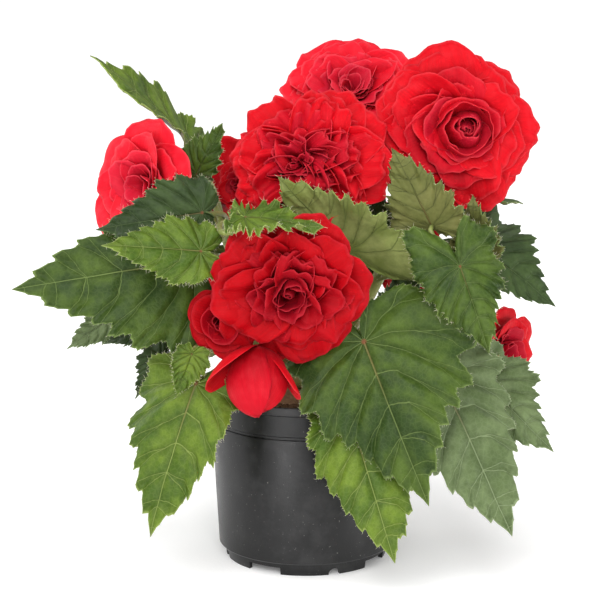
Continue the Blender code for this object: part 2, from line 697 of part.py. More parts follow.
def leaf_stalk(name, leaf, collection):
    _, frame = blade_frame(leaf)
    along, up = frame.col[0].xyz, frame.col[2].xyz
    end = frame.translation - up * (BLADE_THICKNESS / 2 + SEAT)
    knee = end - up * KNEE
    start = leaving_point(knee, LEAF_RISE)
    lean = LEAVING_LEAN * (knee - start).normalized() + Vector((0, 0, 1))
    outward = Vector((frame.translation.x, frame.translation.y, 0))
    if up.dot(outward) > 0:
        arrive = ARRIVING_LEAN[0] * up + ARRIVING_LEAN[1] * along
        path = curved(start, lean, arrive, knee, STALK_SAMPLES) + [end]
    else:
        # A blade that shows its underside has its stalk in front, so the stalk passes below the blade
        below = knee - along * UPTURNED_RUN
        path = curved(start, lean, along, below, STALK_SAMPLES) + [knee, end]
    radii = [blend(STALK_RADIUS, number / (len(path) - 1)) * MM for number in range(len(path))]
    return tube(name, path, radii, collection)


def flower_stalk(name, frame, base_depth, radii_mm, collection):
    up = frame.col[2].xyz.normalized()
    end = frame.translation - up * (base_depth + SEAT)
    knee = end - up * KNEE
    start = leaving_point(knee, FLOWER_RISE)
    lean = LEAVING_LEAN * (knee - start).normalized() + Vector((0, 0, 1))
    path = curved(start, lean, up, knee, STALK_SAMPLES) + [end]
    radii = [blend(radii_mm, number / (len(path) - 1)) * MM for number in range(len(path))]
    return tube(name, path, radii, collection)


def make_stems(collection):
    pieces = [ellipsoid("stems", CROWN_CENTRE, CROWN_RADIUS, CROWN_RADIUS, CROWN_FACES, collection)]
    for name, knots in STEMS.items():
        path = [Vector(knot) * MM for knot in knots]
        radii = [blend(STEM_RADIUS, number / (len(path) - 1)) * MM for number in range(len(path))]
        pieces.append(tube("stem_" + name, path, radii, collection))
    for name, leaf in LEAVES.items():
        pieces.append(leaf_stalk("stalk_" + name, leaf, collection))
    for name, flower in FLOWERS.items():
        depth = CORE_BOTTOM * flower.radius * MM
        pieces.append(
            flower_stalk("peduncle_" + name, flower_frame(flower), depth, FLOWER_STALK_RADIUS, collection)
        )
    for name, bud in BUDS.items():
        depth = bud.half_length * MM
        pieces.append(
            flower_stalk("bud_stalk_" + name, bud_frame(bud), depth, BUD_STALK_RADIUS, collection)
        )
    stems = fuse(pieces)
    paint(stems, STEM_GREEN)
    return stems


def build():
    clear_scene()
    parts = new_collection("potted_begonia")
    foot_cutters = new_collection("foot_cutters", hidden=True)
    pit_cutters = new_collection("pit_cutters", hidden=True)
    seat_cutters = new_collection("seat_cutters", hidden=True)
    made = [
        make_pot(parts, foot_cutters),
        make_mix(parts, pit_cutters),
        make_tuber(parts, seat_cutters),
        make_stems(parts),
    ]
    made += [make_blade("leaf_" + name, leaf, parts) for name, leaf in LEAVES.items()]
    made += [make_flower("bloom_" + name, flower, parts) for name, flower in FLOWERS.items()]
    made += [make_bud("bud_" + name, bud, parts) for name, bud in BUDS.items()]
    plant = bpy.data.objects.new("begonia", None)
    parts.objects.link(plant)
    for thing in made:
        place = thing.matrix_world.copy()
        thing.parent = plant
        thing.matrix_world = place


build()
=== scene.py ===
# %% [markdown]
# # A potted tuberous begonia
#
# The plain solids of this plant come from a CAD model: a nursery pot, the mix in it, a tuber, stems,
# leaves and flowers. This script dresses them for a picture. Every leaf gets its teeth, veins and
# fringe of hairs, every flower its many ruffled petals, and each surface a finish made of nodes. All
# places and sizes are those of the CAD model, so the dressed plant is as large as the solids.

# %% Load the frame
import math
import random
from collections import namedtuple

import bmesh
import bpy
import numpy as np
from mathutils import Matrix, Vector, noise


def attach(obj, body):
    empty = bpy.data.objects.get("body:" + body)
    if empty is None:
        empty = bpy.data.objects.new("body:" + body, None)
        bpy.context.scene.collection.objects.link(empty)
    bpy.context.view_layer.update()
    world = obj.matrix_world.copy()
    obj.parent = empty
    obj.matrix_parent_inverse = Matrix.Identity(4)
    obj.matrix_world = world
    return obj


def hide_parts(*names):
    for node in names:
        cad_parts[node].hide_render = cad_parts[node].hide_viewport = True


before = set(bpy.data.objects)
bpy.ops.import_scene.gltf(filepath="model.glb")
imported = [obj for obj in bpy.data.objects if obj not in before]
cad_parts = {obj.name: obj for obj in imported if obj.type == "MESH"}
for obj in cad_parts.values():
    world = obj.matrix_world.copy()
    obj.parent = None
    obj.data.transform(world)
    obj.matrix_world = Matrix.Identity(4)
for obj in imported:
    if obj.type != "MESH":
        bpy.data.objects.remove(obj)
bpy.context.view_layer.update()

MM = 0.001
print("frame:", len(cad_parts), "nodes")

# %% [markdown]
# ## The studio
#
# The photograph is taken with a long lens from a little above the pot's rim, in an even white room. A
# long lens hardly makes near things larger, which is why the pot's rim looks almost straight. The
# white room gives about half of the light. A wide soft sun from the upper left gives the petals their
# shading, three softboxes fill in the shadows, and two low strips draw the broad bright lines down the
# dark pot. The Standard view keeps the reds and greens as strong as they are in the photograph, where
# a film-like view would turn them pale.

# %% The camera
CAMERA_PLACE, LOOKING_DOWN = (-0.0037, -1.2, 0.40), math.radians(11.36)
FOCAL_PIXELS, FRAME_PIXELS, FILM_WIDTH = 2013, 600, 36.0


def put_in_scene(name, data):
    """A new object that shows this data."""
    made = bpy.data.objects.new(name, data)
    bpy.context.scene.collection.objects.link(made)
    return made


lens = bpy.data.cameras.new("studio_camera")
lens.sensor_width, lens.sensor_fit = FILM_WIDTH, "HORIZONTAL"
lens.lens = FILM_WIDTH * FOCAL_PIXELS / FRAME_PIXELS
camera = put_in_scene("studio_camera", lens)
camera.location = CAMERA_PLACE
camera.rotation_euler = (math.radians(90) - LOOKING_DOWN, 0, 0)
bpy.context.scene.camera = camera
print("camera lens:", round(lens.lens, 1), "mm")

# %% The lights
PLANT_MIDDLE, POT_MIDDLE, RIGHT_OF_POT = (0, 0, 0.16), (0, 0, 0.05), (0.2, 0, 0)
# the light's place, what it looks at, its width and height, all in metres, and its power in watts
SOFT_LIGHTS = {
    "front_softbox": ((0.25, -2.2, 1.1), PLANT_MIDDLE, 0.6, 0.6, 16),
    "left_softbox": ((-1.25, 0.5, 0.7), PLANT_MIDDLE, 0.8, 0.8, 9),
    "right_fill": ((1.0, 0.5, 1.1), RIGHT_OF_POT, 1.0, 1.0, 6),
    "left_strip": ((-0.60, -1.38, 0.065), POT_MIDDLE, 0.18, 0.12, 4.6),
    "right_strip": ((1.37, -0.60, 0.060), POT_MIDDLE, 0.18, 0.11, 6.4),
}
SUN_DIRECTION, SUN_STRENGTH, SUN_SPREAD = Vector((0.3, 0.75, -1.0)), 2.2, math.radians(50)


def shine(name, light, direction):
    """A lamp that shines this way."""
    lamp = put_in_scene(name, light)
    lamp.rotation_euler = direction.to_track_quat("-Z", "Y").to_euler()
    return lamp


for name, (place, target, width, height, power) in SOFT_LIGHTS.items():
    light = bpy.data.lights.new(name, "AREA")
    light.shape, light.energy = "RECTANGLE", power
    light.size, light.size_y = width, height
    shine(name, light, Vector(target) - Vector(place)).location = place
sun = bpy.data.lights.new("wide_sun", "SUN")
sun.energy, sun.angle = SUN_STRENGTH, SUN_SPREAD
shine("wide_sun", sun, SUN_DIRECTION)
print("lights:", len(SOFT_LIGHTS) + 1)

# %% The white room
ROOM_STRENGTH = 0.52
world = bpy.data.worlds.new("white_room")
world.use_nodes = True
room = world.node_tree.nodes["Background"]
room.inputs["Color"].default_value = (1, 1, 1, 1)
room.inputs["Strength"].default_value = ROOM_STRENGTH
bpy.context.scene.world = world
bpy.context.scene.view_settings.view_transform = "Standard"
print("strength of the room's light:", ROOM_STRENGTH)

# %% [markdown]
# ## Making finishes
#
# A finish is a small tree of nodes that ends in a Principled shader. The helper below adds nodes and
# joins them, so that each finish can be read from top to bottom as a recipe. Patterns are placed by
# Object coordinates, in metres, or by maps that the leaves and petals carry on their own points.


# %% A helper for finishes
class Finish:
    """A material, and short ways to add nodes to it."""

    def __init__(self, name, roughness, **sockets):
        self.material = bpy.data.materials.new(name)
        self.material.use_nodes = True
        self.tree = self.material.node_tree
        self.shader = self.tree.nodes["Principled BSDF"]
        self.shader.inputs["Roughness"].default_value = roughness
        for socket, value in sockets.items():
            self.shader.inputs[socket.replace("_", " ")].default_value = value

    def feed(self, socket, value):
        """Joins another node's output to a socket, or sets it to a number or a colour."""
        if isinstance(value, bpy.types.NodeSocket):
            self.tree.links.new(value, socket)
        else:
            socket.default_value = value

    def node(self, kind, inputs=(), **settings):
        """A node with these settings, its inputs fed by number or name."""
        made = self.tree.nodes.new("ShaderNode" + kind)
        for name, value in settings.items():
            setattr(made, name, value)
        for socket, value in dict(inputs).items():
            self.feed(made.inputs[socket], value)
        return made

    def place(self):
        """Where each point is on the piece, in metres."""
        return self.node("TexCoord").outputs["Object"]

    def drawn_out(self, where, *scale):
        """The same places for a pattern that is drawn out where the scale is small."""
        return self.node("Mapping", {"Vector": where, "Scale": scale}).outputs[0]

    def own_map(self, name, output="Vector"):
        """What the piece's points carry under this name."""
        return self.node("Attribute", attribute_name=name).outputs[output]

    def math(self, operation, first, second=0.0):
        return self.node("Math", {0: first, 1: second}, operation=operation).outputs[0]

    def times(self, first, second):
        return self.math("MULTIPLY", first, second)

    def speckle(self, where, scale, detail=2.0, rough=0.5):
        """Soft noise between 0 and 1, its scale in spots for each metre."""
        inputs = {"Vector": where, "Scale": scale, "Detail": detail, "Roughness": rough}
        return self.node("TexNoise", inputs).outputs[0]

    def step(self, value, low, high, start=0.0, end=1.0):
        """Runs smoothly from start to end while value runs from low to high."""
        inputs = {"Value": value, "From Min": low, "From Max": high, "To Min": start, "To Max": end}
        return self.node("MapRange", inputs, interpolation_type="SMOOTHSTEP").outputs[0]

    def choose(self, yes, no_value, yes_value):
        """The second value where yes is 1, the first where it is 0."""
        return self.node("Mix", {0: yes, 2: no_value, 3: yes_value}, data_type="FLOAT").outputs[0]

    def mix(self, share, *colours):
        """The first colour where the share is 0, the second where it is 1."""
        first, second = ((*colour, 1) if isinstance(colour, tuple) else colour for colour in colours)
        return self.node("Mix", {0: share, 6: first, 7: second}, data_type="RGBA").outputs[2]

    def paint(self, colour, *coats):
        """The colour under coats of paint, each given by its share and its own colour."""
        for share, coat in coats:
            colour = self.mix(share, colour, coat)
        return colour

    def bump(self, height, depth, over=None):
        """Turns a height between 0 and 1 into a relief of this depth in metres, over another relief."""
        under = {} if over is None else {"Normal": over}
        return self.node("Bump", {"Height": height, "Distance": depth, **under}).outputs[0]

    def wear(self, colour, relief, roughness=None):
        worn = {"Base Color": colour, "Normal": relief, "Roughness": roughness}
        for socket, value in worn.items():
            if value is not None:
                self.feed(self.shader.inputs[socket], value)

    def let_light_through(self, share, colour, relief):
        """Mixes in light that comes through from the other side."""
        through = self.node("BsdfTranslucent", {"Color": colour, "Normal": relief}).outputs[0]
        both = self.node("MixShader", {0: share, 1: self.shader.outputs[0], 2: through}).outputs[0]
        self.feed(self.tree.nodes["Material Output"].inputs["Surface"], both)


def shown(red, green, blue):
    """A colour as the screen shows it, 0 to 255, as Blender's linear numbers."""
    return tuple((part / 255) ** 2.2 for part in (red, green, blue))


print("a middle grey in linear numbers:", round(shown(128, 128, 128)[0], 3))

# %% [markdown]
# ## The floor
#
# The plant stands on white paper that is so wide that its edge is never seen. A grid of one face is
# enough. The paper glows a little, so that it looks as white as the room and only the plant's own
# shadow marks it.

# %% A sheet of paper
FLOOR_HALF_WIDTH = 15


def mesh_of(name, bm):
    """A mesh of this name out of a bmesh, which is used up."""
    mesh = bpy.data.meshes.new(name)
    bm.to_mesh(mesh)
    bm.free()
    return mesh


paper = Finish("studio_floor", 0.9, Emission_Color=(1, 1, 1, 1), Emission_Strength=0.12)
grain = paper.speckle(paper.place(), 400)
paper.wear(paper.mix(grain, (0.95, 0.95, 0.95), (0.98, 0.98, 0.98)), paper.bump(grain, 0.0001))
bm = bmesh.new()
bmesh.ops.create_grid(bm, x_segments=1, y_segments=1, size=FLOOR_HALF_WIDTH)
floor = put_in_scene("studio_floor", mesh_of("studio_floor", bm))
floor.data.materials.append(paper.material)
print("floor:", floor.dimensions.x, "m wide")

# %% [markdown]
# ## From a bmesh to a piece
#
# Each piece ends the same way. Its mesh, which is already in its final place, is smoothed and given
# its finishes, and it is told which body it rides on and which plain solid it replaces.


# %% Helpers that join shapes and finish a piece
def joined(shapes):
    """One bmesh that holds all of these."""
    whole = bmesh.new()
    for bm in shapes:
        carried = mesh_of("carried", bm)
        whole.from_mesh(carried)
        bpy.data.meshes.remove(carried)
    return whole


def make_piece(name, bm, finishes, slot, *nodes, sharp=None):
    """A smooth piece; edges that turn by more than sharp degrees stay sharp."""
    mesh = mesh_of(name, bm)
    mesh.shade_smooth()
    if sharp is not None:
        mesh.set_sharp_from_angle(angle=math.radians(sharp))
    for finish in finishes:
        mesh.materials.append(finish.material)
    piece = put_in_scene(name, mesh)
    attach(piece, "root")
    if nodes:
        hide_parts(*nodes)
    return piece


print("solids to replace:", len(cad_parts))

# %% [markdown]
# ## The nursery pot
#
# A thin pot of this kind is injection moulded: a section turned about one axis, with small recesses
# and drain notches round its foot. So one half of the section is drawn as a line of points and spun
# round, and the recesses are cut with a Boolean from boxes and bars. The small chamfers along the rim
# and the groove matter more than they seem to, because they catch the light as thin bright lines.

# %% Spin the pot
RIM_RADIUS, RIM_HEIGHT, RIM_LIP = 60 * MM, 106 * MM, 5 * MM
BAND_BOTTOM, BAND_INSET = 88 * MM, 1.2 * MM
GROOVE_DEPTH, GROOVE_HEIGHT = 0.8 * MM, 2 * MM
BODY_TOP_RADIUS, BODY_BOTTOM_RADIUS = 58 * MM, 53.5 * MM
FOOT_RADIUS, FOOT_HEIGHT, FOOT_RING = 49.5 * MM, 8 * MM, 3 * MM
WALL, CHAMFER, FLOOR_BOTTOM, FLOOR_TOP, PAD_RADIUS = 1.4 * MM, 0.6 * MM, 4.5 * MM, 6.5 * MM, 15 * MM
HELD_ABOVE = 0.8 * MM  # one more edge, this far above the foot, keeps the foot out of the wall's shading
POT_STEPS, WELD = 160, 0.001 * MM


def spin_round(bm, line, steps, weld):
    """Joins a line of points and spins it a full turn about +Z."""
    edges = [bm.edges.new(pair) for pair in zip(line, line[1:])]
    bmesh.ops.spin(
        bm, geom=line + edges, cent=(0, 0, 0), axis=(0, 0, 1), angle=math.tau, steps=steps,
        use_merge=True,
    )
    bmesh.ops.remove_doubles(bm, verts=bm.verts, dist=weld)


def spun(section, steps):
    """A solid spun about +Z from points of (radius, height) that start and end on the axis."""
    bm = bmesh.new()
    spin_round(bm, [bm.verts.new((radius, 0, height)) for radius, height in section], steps, WELD)
    bmesh.ops.recalc_face_normals(bm, faces=bm.faces)
    return bm


lip_bottom = RIM_HEIGHT - RIM_LIP
groove_radius, groove_bottom = BODY_TOP_RADIUS - GROOVE_DEPTH, BAND_BOTTOM - GROOVE_HEIGHT
half = CHAMFER / 2
pot_section = [
    (0, FLOOR_TOP),
    (FOOT_RADIUS - WALL, FLOOR_TOP),
    (FOOT_RADIUS - WALL, FOOT_HEIGHT + WALL),
    (BODY_BOTTOM_RADIUS - WALL, FOOT_HEIGHT + WALL),
    (RIM_RADIUS - WALL - CHAMFER, RIM_HEIGHT - half),
    (RIM_RADIUS - WALL - half, RIM_HEIGHT),
    (RIM_RADIUS - CHAMFER, RIM_HEIGHT),
    (RIM_RADIUS - half / 2, RIM_HEIGHT - half / 2),
    (RIM_RADIUS, RIM_HEIGHT - CHAMFER),
    (RIM_RADIUS, lip_bottom + half),
    (RIM_RADIUS - half, lip_bottom),
    (RIM_RADIUS - BAND_INSET, lip_bottom - CHAMFER),
    (BODY_TOP_RADIUS + CHAMFER, BAND_BOTTOM + half),
    (BODY_TOP_RADIUS + half, BAND_BOTTOM),
    (groove_radius, BAND_BOTTOM - CHAMFER),
    (groove_radius, groove_bottom),
    (BODY_TOP_RADIUS - half / 2, groove_bottom - half),
    (BODY_TOP_RADIUS, groove_bottom - CHAMFER - half),
    (BODY_BOTTOM_RADIUS + half, FOOT_HEIGHT + CHAMFER + HELD_ABOVE),
    (BODY_BOTTOM_RADIUS + half, FOOT_HEIGHT + CHAMFER),
    (BODY_BOTTOM_RADIUS - half, FOOT_HEIGHT),
    (FOOT_RADIUS + CHAMFER, FOOT_HEIGHT - CHAMFER),
    (FOOT_RADIUS, CHAMFER),
    (FOOT_RADIUS - half, 0),
    (FOOT_RADIUS - FOOT_RING, 0),
    (FOOT_RADIUS - FOOT_RING, FLOOR_BOTTOM),
    (PAD_RADIUS, FLOOR_BOTTOM),
    (PAD_RADIUS, 0),
    (0, 0),
]
pot_shape = spun(pot_section, POT_STEPS)
print("pot:", len(pot_shape.faces), "faces before the foot is cut")

# %% Boxes and bars to cut the foot
RECESS_ANGLES = (-31, 59, 149, 239)  # degrees round from the front, towards +X
NOTCH_ANGLES = (20, 110, 200, -76)
RECESS_SIZE = (22 * MM, 9 * MM, 8.8 * MM)
NOTCH_RADIUS, NOTCH_HEIGHT, NOTCH_SIDES = 3.6 * MM, 0.35 * MM, 32
DRAIN_CIRCLE, DRAIN_RADIUS, DRAIN_SIDES = 39 * MM, 4 * MM, 24


def round_the_foot(angle, radius, height):
    """The turn and place at this angle from the front."""
    turn = Matrix.Rotation(math.radians(angle), 4, "Z")
    return turn @ Matrix.Translation((0, -radius, height))


def rod(place, length, sides, radius, end_radius):
    """A closed bar or spike along Z whose middle is put at this place."""
    bm = bmesh.new()
    bmesh.ops.create_cone(
        bm, cap_ends=True, segments=sides, radius1=radius, radius2=end_radius, depth=length, matrix=place
    )
    return bm


cutters = []
for angle in RECESS_ANGLES:
    bm = bmesh.new()
    bmesh.ops.create_cube(bm, size=1, matrix=Matrix.Diagonal((*RECESS_SIZE, 1)))
    bmesh.ops.bevel(
        bm, geom=bm.edges, offset=CHAMFER, affect="EDGES", segments=2, profile=0.5, material=-1
    )
    bmesh.ops.transform(bm, matrix=round_the_foot(angle, FOOT_RADIUS, 0), verts=bm.verts)
    cutters.append(bm)
lying = Matrix.Rotation(math.radians(90), 4, "X")
for angle in NOTCH_ANGLES:
    place = round_the_foot(angle, FOOT_RADIUS - FOOT_RING / 2, NOTCH_HEIGHT) @ lying
    cutters.append(rod(place, 4 * FOOT_RING, NOTCH_SIDES, NOTCH_RADIUS, NOTCH_RADIUS))
for angle in RECESS_ANGLES + NOTCH_ANGLES:
    place = round_the_foot(angle, DRAIN_CIRCLE, (FLOOR_BOTTOM + FLOOR_TOP) / 2)
    cutters.append(rod(place, FLOOR_TOP, DRAIN_SIDES, DRAIN_RADIUS, DRAIN_RADIUS))
print("cutters:", len(cutters))


# %% Cut the foot
def cut(shape, tools):
    """Cuts the tools' bmesh from the shape's bmesh and returns the result."""
    solid = put_in_scene("shape", mesh_of("shape", shape))
    tool = put_in_scene("tools", mesh_of("tools", tools))
    boolean = solid.modifiers.new("cut", "BOOLEAN")
    boolean.operation, boolean.solver, boolean.object = "DIFFERENCE", "EXACT", tool
    boolean.use_self = True
    bpy.context.view_layer.update()
    graph = bpy.context.evaluated_depsgraph_get()
    done = bpy.data.meshes.new_from_object(solid.evaluated_get(graph))
    result = bmesh.new()
    result.from_mesh(done)
    bpy.data.meshes.remove(done)
    bpy.data.objects.remove(solid)
    bpy.data.objects.remove(tool)
    return result


pot_shape = cut(pot_shape, joined(cutters))
print("pot:", len(pot_shape.faces), "faces with its recesses")

# %% [markdown]
# The plastic is a dark grey, not a black, because fine scuffs and a film of dust scatter light from
# it. Four noises do this: one for the moulded grain, one for scuffs, one that is drawn out into upright
# streaks, and a sparse one whose peaks are specks of dust. Roughness follows the scuffs, so that the
# long highlight breaks up a little.

# %% Dark satin plastic
plastic = Finish("pot_plastic", 0.40, Specular_IOR_Level=0.38)
spot = plastic.place()
grain = plastic.speckle(spot, 1400, 3)
scuffs = plastic.step(plastic.speckle(spot, 60, 4, 0.65), 0.42, 0.72)
drawn = plastic.speckle(plastic.drawn_out(spot, 1, 1, 0.08), 300, 2)
dust = plastic.step(plastic.speckle(spot, 900, 1), 0.735, 0.80)
body = plastic.paint(
    plastic.mix(drawn, shown(8, 8, 9), shown(16, 16, 17)),
    (plastic.times(scuffs, 0.2), shown(70, 70, 70)),
    (plastic.times(dust, 0.4), shown(150, 148, 142)),
)
gloss = plastic.step(scuffs, 0, 1, 0.36, 0.46)
plastic.wear(body, plastic.bump(grain, 0.00006), gloss)
make_piece("nursery_pot", pot_shape, [plastic], "pot_plastic", "pot", sharp=28)
print("pot replaced")

# %% [markdown]
# ## Potting mix
#
# Potting mix is peat and bark in crumbs of many sizes. A low mound with a noisy surface gives the dark
# body, and several hundred loose crumbs lie on it. A crumb needs only the 20 faces of a small
# icosphere, pushed out of shape and flattened, since nobody sees one of them alone.

# %% Spin and roughen the mound
MIX_TOP, MIX_MOUND, SEAM, MOUND_STEPS, MIX_STEPS = 95 * MM, 3 * MM, 0.35 * MM, 30, 96
BROAD_LUMP, BROAD_LUMPS, FINE_LUMP, FINE_LUMPS = 1.6 * MM, 90, 1.1 * MM, 320  # height, number in a metre
taper = (RIM_RADIUS - BODY_BOTTOM_RADIUS) / (RIM_HEIGHT - FOOT_HEIGHT)
mix_radius = RIM_RADIUS - WALL - CHAMFER - SEAM - taper * (RIM_HEIGHT - MIX_TOP)


def mound_height(share):
    """How high the smooth mound is at this share of its radius."""
    return MIX_TOP + MIX_MOUND * (1 - share**2)


def lumpiness(x, y):
    """How far the mix's surface is raised here."""
    broad = noise.noise(Vector((x, y, 0)) * BROAD_LUMPS)
    return BROAD_LUMP * broad + FINE_LUMP * noise.noise(Vector((x, y, 1)) * FINE_LUMPS)


shares = [step / MOUND_STEPS for step in range(MOUND_STEPS + 1)]
mix_section = [(mix_radius * share, mound_height(share)) for share in shares] + [
    (BODY_BOTTOM_RADIUS - WALL - SEAM, FOOT_HEIGHT + WALL + SEAM),
    (FOOT_RADIUS - WALL - SEAM, FOOT_HEIGHT + WALL + SEAM),
    (FOOT_RADIUS - WALL - SEAM, FLOOR_TOP + SEAM),
    (0, FLOOR_TOP + SEAM),
]
mix_shape = spun(mix_section, MIX_STEPS)
for point in mix_shape.verts:
    if point.co.z > MIX_TOP - 0.1 * MM:
        point.co.z += lumpiness(point.co.x, point.co.y)
print("mix:", len(mix_shape.faces), "faces")

# %% Crumbs of peat and bark
TUBER_CENTRE, TUBER_RADIUS, TUBER_HALF_HEIGHT = Vector((0, 0, 93 * MM)), 23 * MM, 13 * MM
CRUMBS, CRUMB_RADII = 800, (0.5, 0.6, 0.7, 0.9, 1.2, 1.7)  # millimetres
dice = random.Random(11)
crumbs = []
while len(crumbs) < CRUMBS:
    reach, turn = mix_radius * math.sqrt(dice.random()), dice.uniform(0, math.tau)
    size = dice.choice(CRUMB_RADII) * MM
    if TUBER_RADIUS * 0.75 < reach < mix_radius - 1.5 * size:
        bm = bmesh.new()
        bmesh.ops.create_icosphere(bm, subdivisions=1, radius=size)
        for point in bm.verts:
            point.co *= dice.uniform(0.65, 1.15)
        x, y = reach * math.cos(turn), reach * math.sin(turn)
        height = mound_height(reach / mix_radius) + lumpiness(x, y)
        squat = Matrix.Diagonal((1, dice.uniform(0.6, 1), dice.uniform(0.5, 0.9), 1))
        tumble = Matrix.Rotation(dice.uniform(0, math.tau), 4, (dice.random(), dice.random(), 1))
        place = Matrix.Translation((x, y, height + 0.2 * size))
        bmesh.ops.transform(bm, matrix=place @ tumble @ squat, verts=bm.verts)
        crumbs.append(bm)
print("crumbs:", len(crumbs))

# %% Dark, crumbly finish
peat = Finish("potting_mix_finish", 0.95, Specular_IOR_Level=0.2)
spot = peat.place()
grains = peat.node("TexVoronoi", {"Vector": spot, "Scale": 700.0}).outputs["Distance"]
shade = peat.speckle(spot, 500, 4, 0.7)
soil = peat.mix(shade, shown(52, 38, 28), shown(112, 84, 60))
pale = peat.step(peat.speckle(spot, 260, 1), 0.66, 0.74)
soil = peat.mix(pale, soil, shown(176, 158, 128))
peat.wear(soil, peat.bump(grains, 0.0006))
make_piece("mix_mound", mix_shape, [peat], "potting_mix", "potting_mix")
make_piece("mix_crumbs", joined(crumbs), [peat], "potting_mix", "potting_mix")
print("potting mix replaced")

# %% [markdown]
# ## The tuber
#
# The plant grows from a flattened, corky tuber whose upper half stands out of the mix. An icosphere
# has faces of nearly one size everywhere, so noise of three sizes roughens it evenly: broad lobes,
# then knobs, then cork.

# %% Roughen a flattened icosphere
bm = bmesh.new()
bmesh.ops.create_icosphere(bm, subdivisions=5, radius=1)
for point in bm.verts:
    lobes = 0.05 * noise.noise(point.co * 2.2) + 0.022 * noise.noise(point.co * 7)
    point.co *= 0.97 + lobes + 0.012 * noise.noise(point.co * 20)
squash = Matrix.Diagonal((TUBER_RADIUS, TUBER_RADIUS, TUBER_HALF_HEIGHT, 1))
bmesh.ops.transform(bm, matrix=Matrix.Translation(TUBER_CENTRE) @ squash, verts=bm.verts)
cork = Finish("tuber_cork", 0.85, Specular_IOR_Level=0.25)
bark = cork.speckle(cork.drawn_out(cork.place(), 1, 1, 3), 260, 5, 0.65)
skin = cork.mix(bark, shown(84, 58, 40), shown(158, 124, 92))
cork.wear(skin, cork.bump(bark, 0.0009))
make_piece("corky_tuber", bm, [cork], "tuber", "tuber")
print("tuber replaced")

# %% [markdown]
# ## The plant's plan
#
# These tables say where each leaf and flower is, as the plain solids have them. A leaf is given by the
# place where its stalk meets it, its tip, and the way its upper side looks. A flower is given by its
# middle, the way it faces and its radius. All fine shapes below are grown from these few numbers.

